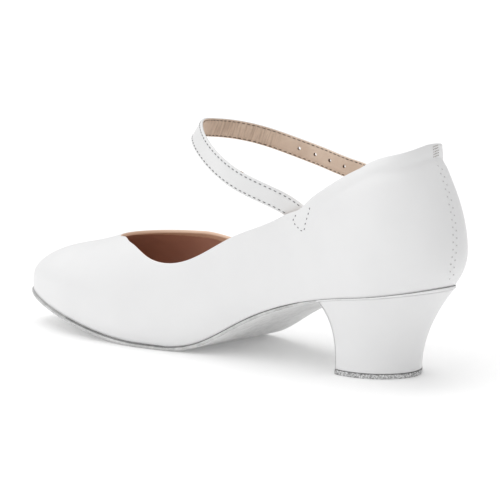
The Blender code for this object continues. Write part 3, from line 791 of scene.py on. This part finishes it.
def stacked(name, rings, material):
    """Closed solid from a stack of rings, its ends filled with strips across."""
    count = len(rings[0])
    faces = [face for _, _, face in quads(len(rings), count)]
    for start in (0, (len(rings) - 1) * count):
        faces.append((start, start + 1, start + count - 1))
        for j in range(1, count // 2):
            strip = (start + j, start + j + 1, start + count - j - 1, start + count - j)
            faces.append(tuple(dict.fromkeys(strip)))
    points = [point + SHIFT for ring in rings for point in ring]
    return finished(name, points, [face for face in faces if len(face) > 2], [material])


rings = [heel_ring(0.0, 0.0006)] + [heel_ring(level) for level in np.linspace(0, 1, HEEL_LEVELS)]
rings[1][:, 2] += 0.0003
heel_cover = smooth_leather("white_heel_cover", WHITE, WHITE_SHADE, 0.36, 0.05)
heel = stacked("heel_block", rings, heel_cover)
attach(heel, "root")
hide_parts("heel")


# The heel's top piece: a dark grey sheet of rubbery composition, nailed and trimmed flush, with
# a rough cut edge.


def top_piece_surface():
    """Rough dark grey composition with pale grit."""
    material, tree, shader = surface("dark_grey_top_piece", (0.15, 0.15, 0.15), 0.9)
    grit = noise(tree, 1100.0, 4.0, 0.8)
    link(tree, blend_colour(tree, span(tree, grit, 0.38, 0.62), (0.17, 0.17, 0.17),
                            (0.95, 0.95, 0.95)), shader.inputs["Base Color"])
    relief(tree, shader, grit, 0.9, 0.0004)
    return material


rings = []
for height, grow in ((0.0, -0.0002), (0.0004, 0.0002), (0.0013, 0.0002), (0.0022, 0.0002),
                     (TREAD_THICKNESS, -0.0002)):
    ring = heel_ring(0.0, -grow)
    ring[:, 2] = height
    rings.append(ring)
top_piece = stacked("heel_top_piece_rubber", rings, top_piece_surface())
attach(top_piece, "root")
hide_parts("heel_top_piece")


# The strap: two thin layers stitched together, white leather outside and tan lining inside. It
# is sewn in behind the topline on the inner side, bends over the instep and runs through the
# buckle on the outer side. Its holes are punched.
STRAP_WIDTH = 0.0092
STRAP_THICKNESS = 0.0015
HOLE_RADIUS = 0.0008
HOLE_PITCH = 0.0085
FIRST_HOLE_AT = 0.6155
HOLES = 6
STITCH_INSET = 0.0011
DENT_REACH = 0.00055
WIRE_RADIUS = 0.0009
PRONG_RADIUS = 0.0006
PRONG_PLAY = 0.00012
BUCKLE_HALF_LENGTH = 0.0055
BUCKLE_HALF_WIDTH = 0.0064
BUCKLE_AT = (0.2764, -0.4286, 0.7509)
BUCKLE_ALONG = (-0.975, 0.045, -0.215)
BUCKLE_ACROSS = (-0.21, -0.03, 0.97)
FREE_END = ((-1.36, -0.09), (-0.82, -0.21), (-0.49, -0.21), (-0.16, -0.05), (0.16, 0.29),
            (0.54, 0.435), (1.03, 0.37), (1.74, 0.21), (2.61, 0.15))
Strand = namedtuple("Strand", "x y z across_x across_y across_z")
STRAP = (
    Strand(0.2480, 0.3013, 0.6141, -0.44, -0.04, 0.89),
    Strand(0.2866, 0.2987, 0.6588, -0.42, -0.02, 0.90),
    Strand(0.3110, 0.3091, 0.6901, -0.39, -0.02, 0.92),
    Strand(0.3386, 0.3584, 0.7263, -0.36, -0.03, 0.93),
    Strand(0.3984, 0.4351, 0.7861, -0.37, -0.03, 0.93),
    Strand(0.4581, 0.4377, 0.8545, -0.47, -0.03, 0.88),
    Strand(0.5106, 0.3779, 0.9230, -0.50, -0.08, 0.86),
    Strand(0.5520, 0.2481, 0.9620, -0.42, -0.25, 0.88),
    Strand(0.5715, 0.0675, 0.9534, -0.34, -0.13, 0.93),
    Strand(0.5626, -0.1208, 0.9339, -0.35, -0.03, 0.94),
    Strand(0.5280, -0.2714, 0.9021, -0.35, 0.01, 0.93),
    Strand(0.4764, -0.3675, 0.8598, -0.32, 0.00, 0.95),
    Strand(0.4183, -0.4091, 0.8232, -0.27, -0.03, 0.96),
    Strand(0.3577, -0.4195, 0.7909, -0.23, -0.03, 0.97),
)


def unit(vector):
    vector = np.asarray(vector, float)
    return vector / np.linalg.norm(vector)


along = unit(BUCKLE_ALONG)
across = unit(np.array(BUCKLE_ACROSS) - np.dot(BUCKLE_ACROSS, along) * along)
outward = np.cross(across, along)
if outward[1] > 0:
    outward = -outward
BUCKLE_CENTRE = np.array(BUCKLE_AT) * (SHOE_LENGTH, BALL_WIDTH, COLLAR_HEIGHT)


def at_buckle(forward, out, sideways=0.0):
    """A point near the buckle: forward along the free end, out from the foot, sideways up."""
    return BUCKLE_CENTRE + along * forward + outward * out + across * sideways


def way_of(middles, widths, facing):
    """Frames along a band: point, direction, width and the face's way; facing turns it out."""
    middles = np.array(middles)
    spans = run_along(middles)
    line = spline(spans, middles)
    turned = spline(spans, np.array(widths))

    def at(place):
        ahead = unit(line(place + 1e-5) - line(place - 1e-5))
        wide = turned(place)
        wide = unit(wide - np.dot(wide, ahead) * ahead)
        return line(place), ahead, wide, facing * np.cross(ahead, wide)
    return at, spans[-1]


CORNER_STEPS = 5


def rounded_profile(width, thick):
    """Cross-section of a band: (across, through) pairs round it, outer face first."""
    radius = 0.42 * thick
    pairs = []
    for w, t, start in ((1, 1, 0), (-1, 1, 90), (-1, -1, 180), (1, -1, 270)):
        for step in range(CORNER_STEPS):
            turn = math.radians(start + 90 * step / (CORNER_STEPS - 1))
            pairs.append((w * (width / 2 - radius) + radius * math.cos(turn),
                          t * (thick / 2 - radius) + radius * math.sin(turn)))
    return pairs


def make_band(name, way, length, width, thick, count, materials, face_steps, tip=0.0,
              row_inset=0.0, dent=0.0):
    """Band with rounded edges; its outer face and edges take slot 0, its inner face slot 1."""
    profile = rounded_profile(width, thick)
    high, low = profile[CORNER_STEPS - 1][0], profile[CORNER_STEPS][0]
    outer_face = [(high + (low - high) * s, thick / 2)
                  for s in np.linspace(0, 1, face_steps + 1)[1:-1]]
    inner_face = [(-v, -t) for v, t in outer_face]
    ring = (profile[:CORNER_STEPS] + outer_face + profile[CORNER_STEPS:3 * CORNER_STEPS]
            + inner_face + profile[3 * CORNER_STEPS:])
    points, marks = [], []
    for place in np.linspace(0, length, count):
        point, _, wide, face = way(place)
        share = max(place - (length - tip), 0.0) / tip if tip else 0.0
        taper = max(math.sqrt(1 - min(share, 1.0) ** 2.2), 0.12)
        for v, t in ring:
            sunk = t
            if dent and abs(t) > 0.45 * thick:
                off = (abs(v) - (width / 2 - row_inset)) / DENT_REACH
                sunk = t - math.copysign(dent * math.exp(-off * off), t)
            points.append(point + wide * v * taper + face * sunk + SHIFT)
            marks.append((place, v))
    inner_first = 2 * CORNER_STEPS + face_steps
    inner_last = inner_first + face_steps + CORNER_STEPS
    faces, slots = [], []
    for _, j, face in quads(count, len(ring)):
        faces.append(face)
        slots.append(1 if inner_first <= j <= inner_last else 0)
    for start in (0, (count - 1) * len(ring)):
        centre = len(points)
        points.append(np.mean(points[start:start + len(ring)], axis=0))
        marks.append(marks[start])
        for j in range(len(ring)):
            faces.append((start + j, start + (j + 1) % len(ring), centre))
            slots.append(0)
    return finished(name, points, faces, materials, slots,
                    {"run": [mark[0] for mark in marks], "side": [mark[1] for mark in marks]})


def strap_lining_surface():
    """Thin tan lining leather with fine creases across it where the strap bends, painted darker in
    the creases as shade.
    """
    material, tree, shader = surface("tan_strap_lining", (0.62, 0.47, 0.36), 0.6)
    run, side = (add(tree, "ShaderNodeAttribute", attribute_name=name).outputs["Fac"]
                 for name in ("run", "side"))
    place = add(tree, "ShaderNodeCombineXYZ")
    link(tree, run, place.inputs["X"])
    link(tree, side, place.inputs["Y"])
    slant = add(tree, "ShaderNodeMapping")
    slant.inputs["Scale"].default_value = (900.0, 90.0, 1.0)
    slant.inputs["Rotation"].default_value = (0.0, 0.0, 0.25)
    link(tree, place.outputs[0], slant.inputs["Vector"])
    crease = add(tree, "ShaderNodeTexNoise", Scale=1.0, Detail=3.0, Roughness=0.6)
    link(tree, slant.outputs[0], crease.inputs["Vector"])
    bend = calc(tree, "MULTIPLY", span(tree, run, 0.094, 0.104),
                span(tree, run, 0.138, 0.152, 1.0, 0.0))
    creased = calc(tree, "MULTIPLY", crease.outputs["Fac"], bend)
    colour = blend_colour(tree, span(tree, noise(tree, 120.0, 3.0), 0.3, 0.7),
                          (0.68, 0.54, 0.43), (0.77, 0.63, 0.51))
    # Painted shade: the lining is coloured a darker, browner tan in the creases of the bend.
    crease_painted_shade = blend_colour(tree, span(tree, creased, 0.42, 0.72, 0.0, 0.7), colour,
                          (0.40, 0.30, 0.225))
    link(tree, crease_painted_shade, shader.inputs["Base Color"])
    height = calc(tree, "MULTIPLY_ADD", creased, 3.0, noise(tree, 1400.0, 4.0))
    relief(tree, shader, height, 0.5, 0.00025)
    return material


strap_middles = [(row.x * SHOE_LENGTH, row.y * BALL_WIDTH, row.z * COLLAR_HEIGHT)
                 for row in STRAP]
strap_widths = [(row.across_x, row.across_y, row.across_z) for row in STRAP]
for forward, out in FREE_END:
    strap_middles.append(at_buckle(forward * STRAP_WIDTH, out * STRAP_WIDTH))
    strap_widths.append(across)
strap_way, strap_length = way_of(strap_middles, strap_widths, -1)
strap_leather = smooth_leather("white_strap_leather", (0.79, 0.79, 0.79), (0.74, 0.74, 0.74),
                               0.45, 0.35)
strap_lining = strap_lining_surface()
strap = make_band("strap_band", strap_way, strap_length, STRAP_WIDTH, STRAP_THICKNESS, 520,
                  [strap_leather, strap_lining], 22, tip=0.6 * STRAP_WIDTH,
                  row_inset=STITCH_INSET, dent=0.00016)


def rod(name, start, end, radius):
    """Plain round cutter."""
    start, end = np.array(start) + SHIFT, np.array(end) + SHIFT
    built = bmesh.new()
    bmesh.ops.create_cone(built, cap_ends=True, segments=20, radius1=radius, radius2=radius,
                          depth=float(np.linalg.norm(end - start)))
    turn = Vector((0, 0, 1)).rotation_difference(Vector(end - start)).to_matrix().to_4x4()
    built.transform(Matrix.Translation(Vector((start + end) / 2)) @ turn)
    return placed(name, mesh_of(name, built))


def plain_mesh(target):
    """Applies an object's modifiers to its mesh."""
    seen = bpy.context.evaluated_depsgraph_get()
    mesh = bpy.data.meshes.new_from_object(target.evaluated_get(seen))
    target.modifiers.clear()
    target.data = mesh


def punch(target, cutters):
    """Cuts round holes and clears the cutters away."""
    for cutter in cutters:
        step = target.modifiers.new("hole", "BOOLEAN")
        step.operation = "DIFFERENCE"
        step.solver = "EXACT"
        step.object = cutter
    plain_mesh(target)
    for cutter in cutters:
        bpy.data.objects.remove(cutter)


cutters, hole_axes = [], []
for i in range(HOLES):
    point, _, _, face = strap_way(FIRST_HOLE_AT * SHOE_LENGTH + HOLE_PITCH * i)
    cutters.append(rod("hole", point - face * 0.002, point + face * 0.002, HOLE_RADIUS))
    hole_axes.append((point + SHIFT, face))
level = WIRE_RADIUS + PRONG_RADIUS + PRONG_PLAY
cutters.append(rod("prong_hole", at_buckle(-1.1 * BUCKLE_HALF_LENGTH, level),
                   at_buckle(0.7 * BUCKLE_HALF_LENGTH, level), PRONG_RADIUS + FIT_GAP))
punch(strap, cutters)
# Painted shade: the walls of the punched holes are coloured a dark brownish tone as the shade
# inside the holes.
strap.data.materials.append(smooth_leather("painted_shade_hole_wall", (0.30, 0.19, 0.12),
                                           (0.24, 0.15, 0.09), 0.9, 0.3))
for face in strap.data.polygons:
    for centre, axis in hole_axes:
        off = np.array(face.center) - centre
        around = off - np.dot(off, axis) * axis
        if np.linalg.norm(around) < 1.1 * HOLE_RADIUS and abs(np.dot(face.normal, axis)) < 0.5:
            face.material_index = 2
strap.data.set_sharp_from_angle(angle=math.radians(42))
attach(strap, "root")
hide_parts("strap")


# Stitching: short stitches, in two rows along the strap, as a box where the strap is sewn
# through the upper, and zigzag up the back seam to a bar tack at the top. The grey thread on
# the strap, box and tab is drawn dark, partly as painted shade of the sunk stitch holes.


def stitch_tree():
    """Geometry nodes that lay short round-ended stitches along every spline of a curve."""
    tree = bpy.data.node_groups.new("stitch_run", "GeometryNodeTree")
    for name, kind in (("Geometry", "NodeSocketGeometry"), ("Pitch", "NodeSocketFloat"),
                       ("Stitch Length", "NodeSocketFloat"), ("Thread Radius", "NodeSocketFloat"),
                       ("Thread", "NodeSocketMaterial")):
        tree.interface.new_socket(name, in_out="INPUT", socket_type=kind)
    tree.interface.new_socket("Geometry", in_out="OUTPUT", socket_type="NodeSocketGeometry")
    given, result, size, tangent, spread, whole, smooth, paint = (
        tree.nodes.new(kind) for kind in (
            "NodeGroupInput", "NodeGroupOutput", "ShaderNodeCombineXYZ",
            "GeometryNodeInputTangent", "GeometryNodeInstanceOnPoints",
            "GeometryNodeRealizeInstances", "GeometryNodeSetShadeSmooth",
            "GeometryNodeSetMaterial"))
    resample = add(tree, "GeometryNodeResampleCurve", mode="LENGTH")
    bead = add(tree, "GeometryNodeMeshUVSphere", Segments=8, Rings=6, Radius=1.0)
    turn = add(tree, "FunctionNodeAlignRotationToVector", axis="Z")
    half = calc(tree, "MULTIPLY", given.outputs["Stitch Length"], 0.5)
    for source, node, socket in (
            (given.outputs["Geometry"], resample, "Curve"),
            (given.outputs["Pitch"], resample, "Length"),
            (given.outputs["Thread Radius"], size, "X"),
            (given.outputs["Thread Radius"], size, "Y"),
            (half, size, "Z"),
            (tangent.outputs[0], turn, "Vector"),
            (resample.outputs[0], spread, "Points"),
            (bead.outputs["Mesh"], spread, "Instance"),
            (turn.outputs[0], spread, "Rotation"),
            (size.outputs[0], spread, "Scale"),
            (spread.outputs[0], whole, 0),
            (whole.outputs[0], smooth, 0),
            (smooth.outputs[0], paint, "Geometry"),
            (given.outputs["Thread"], paint, "Material"),
            (paint.outputs[0], result, "Geometry")):
        link(tree, source, node.inputs[socket])
    return tree


def thread_surface(name, colour):
    """Twisted sewing thread."""
    material, tree, shader = surface(name, colour, 0.7)
    darker = tuple(value * 0.7 for value in colour)
    link(tree, blend_colour(tree, noise(tree, 5200.0, 2.0), darker, colour),
         shader.inputs["Base Color"])
    return material


stitches = stitch_tree()


def sew(name, runs, pitch, stitch_length, thread_radius, thread):
    """Stitches along lists of points, as one plain mesh."""
    curve = bpy.data.curves.new(name, "CURVE")
    curve.dimensions = "3D"
    for run in runs:
        line = curve.splines.new("POLY")
        line.points.add(len(run) - 1)
        for i, point in enumerate(run):
            line.points[i].co = (*(np.array(point) + SHIFT), 1)
    sewn = placed(name, curve)
    step = sewn.modifiers.new("stitches", "NODES")
    step.node_group = stitches
    values = {"Pitch": pitch, "Stitch Length": stitch_length, "Thread Radius": thread_radius,
              "Thread": thread}
    for item in stitches.interface.items_tree:
        if item.name in values:
            step[item.identifier] = values[item.name]
    seen = bpy.context.evaluated_depsgraph_get()
    mesh = bpy.data.meshes.new_from_object(sewn.evaluated_get(seen))
    bpy.data.objects.remove(sewn)
    made = placed(name, mesh)
    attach(made, "root")


# Painted shade: this grey thread is drawn darker than the thread itself, partly standing in for the
# shade of the stitch holes it sinks into.
dark_thread_with_pit_shade = thread_surface("dark_thread_with_pit_shade", (0.14, 0.14, 0.145))
brown_thread = thread_surface("brown_grey_thread", (0.13, 0.10, 0.08))
pale_thread = thread_surface("pale_grey_thread", (0.62, 0.615, 0.61))
tack_thread = thread_surface("tack_thread", (0.30, 0.26, 0.22))
ROW_START, ROW_PITCH = 0.0040, 0.00245
THREAD_RADIUS = 0.0002


def strap_row(side, face_side, inset, start, end):
    """A row along the strap: side picks the edge, face_side the outer or inner face."""
    row = []
    for place in np.linspace(start, end, 500):
        point, _, wide, face = strap_way(place)
        row.append(point + wide * side * (STRAP_WIDTH / 2 - inset)
                   + face * face_side * (STRAP_THICKNESS / 2 - 0.00008))
    return row


row_end = strap_length - 0.55 * STRAP_WIDTH
for name, face_side, inset, stitch_length, thread in (
        ("strap_stitches_outside", 1, STITCH_INSET, 0.0014, dark_thread_with_pit_shade),
        ("strap_stitches_inside", -1, 0.0008, 0.0018, brown_thread)):
    sew(name, [strap_row(side, face_side, inset, ROW_START, row_end) for side in (1, -1)],
        ROW_PITCH, stitch_length, THREAD_RADIUS, thread)


outer_ribs = {side: shaped_outer(wall_ribs(side, 0.0, UPPER_FINENESS, UPPER_POINTS, EDGE_ROLL),
                                 side) for side in ("medial", "lateral")}


def on_upper(x, z, lift):
    """Point on the inner side's leather at x and at height z."""
    rows = outer_ribs["medial"][UPPER_FINENESS[0]:UPPER_FINENESS[0] + UPPER_FINENESS[1]]
    places = np.array([row[-1][0] for row in rows])
    i = min(max(int(np.searchsorted(places, x)) - 1, 0), len(rows) - 2)
    share = (x - places[i]) / (places[i + 1] - places[i])
    y = [np.interp(z, row[8:, 2], row[8:, 1]) for row in (rows[i], rows[i + 1])]
    return np.array([x, y[0] * (1 - share) + y[1] * share + lift, z])


BOX_STITCHES = ((0.0622, 0.0742), (0.0627, 0.0718), (0.0634, 0.0693), (0.0641, 0.0665),
                (0.0648, 0.0640), (0.0666, 0.0641), (0.0686, 0.0653), (0.0704, 0.0665),
                (0.0717, 0.0682), (0.0704, 0.0700))


box_line = np.array([on_upper(x, z, 0.00004) for x, z in BOX_STITCHES])
box_spans = run_along(box_line)
box_way = spline(box_spans, box_line)
sew("strap_box_stitches", [[box_way(place) for place in np.linspace(0, box_spans[-1], 120)]],
    0.0023, 0.0010, THREAD_RADIUS, dark_thread_with_pit_shade)

ZIGZAG_HALF_WIDTH, ZIGZAG_STEP = 0.0011, 0.0016
ZIGZAG_BELOW_COLLAR, ZIGZAG_ABOVE_SEAT = 0.0100, 0.0050
TACK_ROWS, TACK_SPACING, TACK_HALF_WIDTH, TACK_BELOW_COLLAR = 5, 0.0011, 0.0018, 0.0016


def on_back(z, sideways, lift):
    """Point on the counter at a height, sideways of the middle towards the inner side."""
    rows = outer_ribs["medial" if sideways >= 0 else "lateral"][:14]
    places = []
    for row in rows:
        upper_part = row[12:]
        places.append([np.interp(z, upper_part[:, 2], upper_part[:, axis]) for axis in (0, 1)])
    places = np.array(places)
    return np.array([np.interp(abs(sideways), abs(places[:, 1]), places[:, 0]) - lift,
                     sideways, z])


zigzag = []
z, sign = COLLAR_HEIGHT - ZIGZAG_BELOW_COLLAR, 1
while z > HEEL_HEIGHT + ZIGZAG_ABOVE_SEAT:
    zigzag.append(on_back(z, float(seam_drift(z)) + sign * ZIGZAG_HALF_WIDTH, 0.00002))
    z -= ZIGZAG_STEP
    sign = -sign
sew("back_seam_stitches", [[a, b] for a, b in zip(zigzag[:-1], zigzag[1:])],
    0.0021, 0.0011, 0.00016, pale_thread)
tack_runs = []
for i in range(TACK_ROWS):
    z = COLLAR_HEIGHT - TACK_BELOW_COLLAR - TACK_SPACING * i
    tack_runs.append([on_back(z - 0.0002 * way, float(seam_drift(z)) + way * TACK_HALF_WIDTH,
                              0.00004) for way in (-1, 1)])
sew("back_bar_tack", tack_runs, 0.0012, 0.0009, 0.00017, tack_thread)


# The buckle's tab: a short doubled strap of the same white leather, sewn to the outer side and
# folded round the rear bar, with a slot for the prong.
TAB_WIDTH = 0.0084
TAB_THICKNESS = 0.0014
TAB_WAY = ((2.17, -0.33), (1.79, -0.305), (1.41, -0.27), (1.03, -0.23))
TAB_TURNS = (-80, -110, -145, 180, 145, 110, 80, 55)
turn_radius = WIRE_RADIUS + 1.33 * FIT_GAP + TAB_THICKNESS / 2
tab_middles = [at_buckle(forward * STRAP_WIDTH, out * STRAP_WIDTH) for forward, out in TAB_WAY]
for turn in TAB_TURNS:
    angle = math.radians(turn)
    tab_middles.append(at_buckle(BUCKLE_HALF_LENGTH + turn_radius * math.cos(angle),
                                 turn_radius * math.sin(angle)))
tab_way, tab_length = way_of(tab_middles, [across] * len(tab_middles), 1)
tab = make_band("buckle_tab_leather", tab_way, tab_length, TAB_WIDTH, TAB_THICKNESS, 110,
                [strap_leather, strap_leather], 12)
built = bmesh.new()
bmesh.ops.create_cube(built, size=1.0)
slot_middle = at_buckle(0.985 * BUCKLE_HALF_LENGTH, 0.0) + SHIFT
basis = Matrix((along, across, outward)).transposed().to_4x4()
size = Matrix.Diagonal((1.43 * BUCKLE_HALF_LENGTH, 3.6 * PRONG_RADIUS,
                        2.9 * (WIRE_RADIUS + PRONG_RADIUS + FIT_GAP), 1))
built.transform(Matrix.Translation(Vector(slot_middle)) @ basis @ size)
bmesh.ops.recalc_face_normals(built, faces=built.faces)
punch(tab, [placed("prong_slot", mesh_of("prong_slot", built))])
tab.data.set_sharp_from_angle(angle=math.radians(42))
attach(tab, "root")
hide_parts("buckle_tab")

tab_rows = []
for side in (1, -1):
    row = []
    for place in np.linspace(0.0012, tab_length * 0.52, 60):
        point, _, wide, face = tab_way(place)
        facing = 1 if np.dot(face, outward) > 0 else -1
        row.append(point + wide * side * (TAB_WIDTH / 2 - STITCH_INSET)
                   + face * facing * (TAB_THICKNESS / 2))
    tab_rows.append(row)
tab_rows.append([tab_rows[0][0] * (1 - s) + tab_rows[1][0] * s for s in np.linspace(0, 1, 12)])
sew("tab_stitches", tab_rows, 0.0022, 0.0013, THREAD_RADIUS, dark_thread_with_pit_shade)


# The buckle: a plain rectangular wire frame with rounded corners and a prong curled round its
# rear bar, both plated and polished.


def plated_surface():
    """Polished plating with faint brushing and wear."""
    material, tree, shader = surface("plated_buckle_metal", (0.74, 0.74, 0.75), 0.2)
    shader.inputs["Metallic"].default_value = 1.0
    wear = noise(tree, 700.0, 4.0)
    link(tree, span(tree, wear, 0.3, 0.7, 0.14, 0.30), shader.inputs["Roughness"])
    link(tree, blend_colour(tree, wear, (0.68, 0.68, 0.69), (0.80, 0.80, 0.81)),
         shader.inputs["Base Color"])
    return material


plated = plated_surface()


WIRE_SIDES = 16


def make_tube(name, middles, radius, closed, taper=lambda share: 1.0):
    """Round wire along a smooth run of points."""
    count = len(middles)
    points = []
    side_way = None
    for i, point in enumerate(middles):
        before = middles[(i - 1) % count] if closed or i else middles[i]
        after = middles[(i + 1) % count] if closed or i < count - 1 else middles[i]
        ahead = unit(after - before)
        if side_way is None:
            side_way = across if abs(np.dot(ahead, across)) < 0.9 else outward
        side_way = unit(side_way - np.dot(side_way, ahead) * ahead)
        other = np.cross(ahead, side_way)
        size = radius * taper(i / (count - 1))
        for turn in np.arange(WIRE_SIDES) * 2 * math.pi / WIRE_SIDES:
            points.append(point + size * (math.cos(turn) * side_way + math.sin(turn) * other)
                          + SHIFT)
    faces = [face for _, _, face in quads(count, WIRE_SIDES, loop=closed)]
    if not closed:
        for start, centre in ((0, middles[0]), ((count - 1) * WIRE_SIDES, middles[-1])):
            points.append(centre + SHIFT)
            faces += [(start + k, start + (k + 1) % WIRE_SIDES, len(points) - 1)
                      for k in range(WIRE_SIDES)]
    return finished(name, points, faces, [plated])


corner = 1.8 * WIRE_RADIUS
line = []
for forward, sideways, start in ((1, 1, 0), (-1, 1, 90), (-1, -1, 180), (1, -1, 270)):
    for step in range(9):
        turn = math.radians(start + step * 90 / 8)
        line.append(at_buckle(forward * (BUCKLE_HALF_LENGTH - corner) + corner * math.cos(turn),
                              0.0,
                              sideways * (BUCKLE_HALF_WIDTH - corner) + corner * math.sin(turn)))
buckle = make_tube("buckle_frame_wire", line, WIRE_RADIUS, True)
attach(buckle, "root")
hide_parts("buckle_frame")

reach = WIRE_RADIUS + PRONG_RADIUS + PRONG_PLAY
line = [at_buckle(share * BUCKLE_HALF_LENGTH, reach) for share in np.linspace(-1.2, 0.3, 12)]
for step in range(25):
    turn = math.radians(90 - step * 10)
    line.append(at_buckle(BUCKLE_HALF_LENGTH + reach * math.cos(turn), reach * math.sin(turn)))
prong = make_tube("buckle_prong_wire", line, PRONG_RADIUS, False,
                  taper=lambda share: min(1.0, 0.55 + 6 * share))
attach(prong, "root")
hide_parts("buckle_prong")


# The studio: a plain pale floor, soft light from all round and above, and the camera at the
# photograph's angle, behind the shoe on its inner side.
built = bmesh.new()
bmesh.ops.create_grid(built, x_segments=1, y_segments=1, size=7.0)
floor = placed("floor", mesh_of("floor", built))
floor_surface, _, floor_shader = surface("pale_floor", (0.90, 0.90, 0.90), 0.9)
floor_shader.inputs["Specular IOR Level"].default_value = 0.1
floor_shader.inputs["Emission Color"].default_value = (1, 1, 1, 1)
floor_shader.inputs["Emission Strength"].default_value = 0.11
floor.data.materials.append(floor_surface)

world = bpy.data.worlds.new("studio")
world.use_nodes = True
sky = world.node_tree.nodes["Background"]
sky.inputs["Color"].default_value = (1, 1, 1, 1)
sky.inputs["Strength"].default_value = 0.60
bpy.context.scene.world = world


def soft_sun(name, strength, angle, direction):
    """Sun lamp so broad that its shadows are soft, shining along direction."""
    lamp = bpy.data.lights.new(name, "SUN")
    lamp.energy = strength
    lamp.angle = math.radians(angle)
    placed(name, lamp).rotation_euler = Vector(direction).to_track_quat("-Z", "Y").to_euler()


soft_sun("overhead", 1.05, 50, (-0.35, 0.28, -1.0))
soft_sun("fill", 0.95, 70, (-0.25, -0.65, -0.75))

camera_data = bpy.data.cameras.new("camera")
camera_data.sensor_fit = "HORIZONTAL"
camera_data.sensor_width = 36.0
camera_data.lens = 304.9
camera_data.clip_end = 60.0
camera = placed("camera", camera_data)
right = Vector((-0.758006, -0.652042, 0.016378))
upward = Vector((0.117325, -0.111605, 0.986802))
backward = right.cross(upward)
facing = Matrix((right, upward, backward)).transposed().to_4x4()
camera.matrix_world = Matrix.Translation((-1.120039 + SHIFT[0], 1.449268 + SHIFT[1],
                                          0.357037)) @ facing
bpy.context.scene.camera = camera
bpy.context.scene.view_settings.view_transform = "Standard"
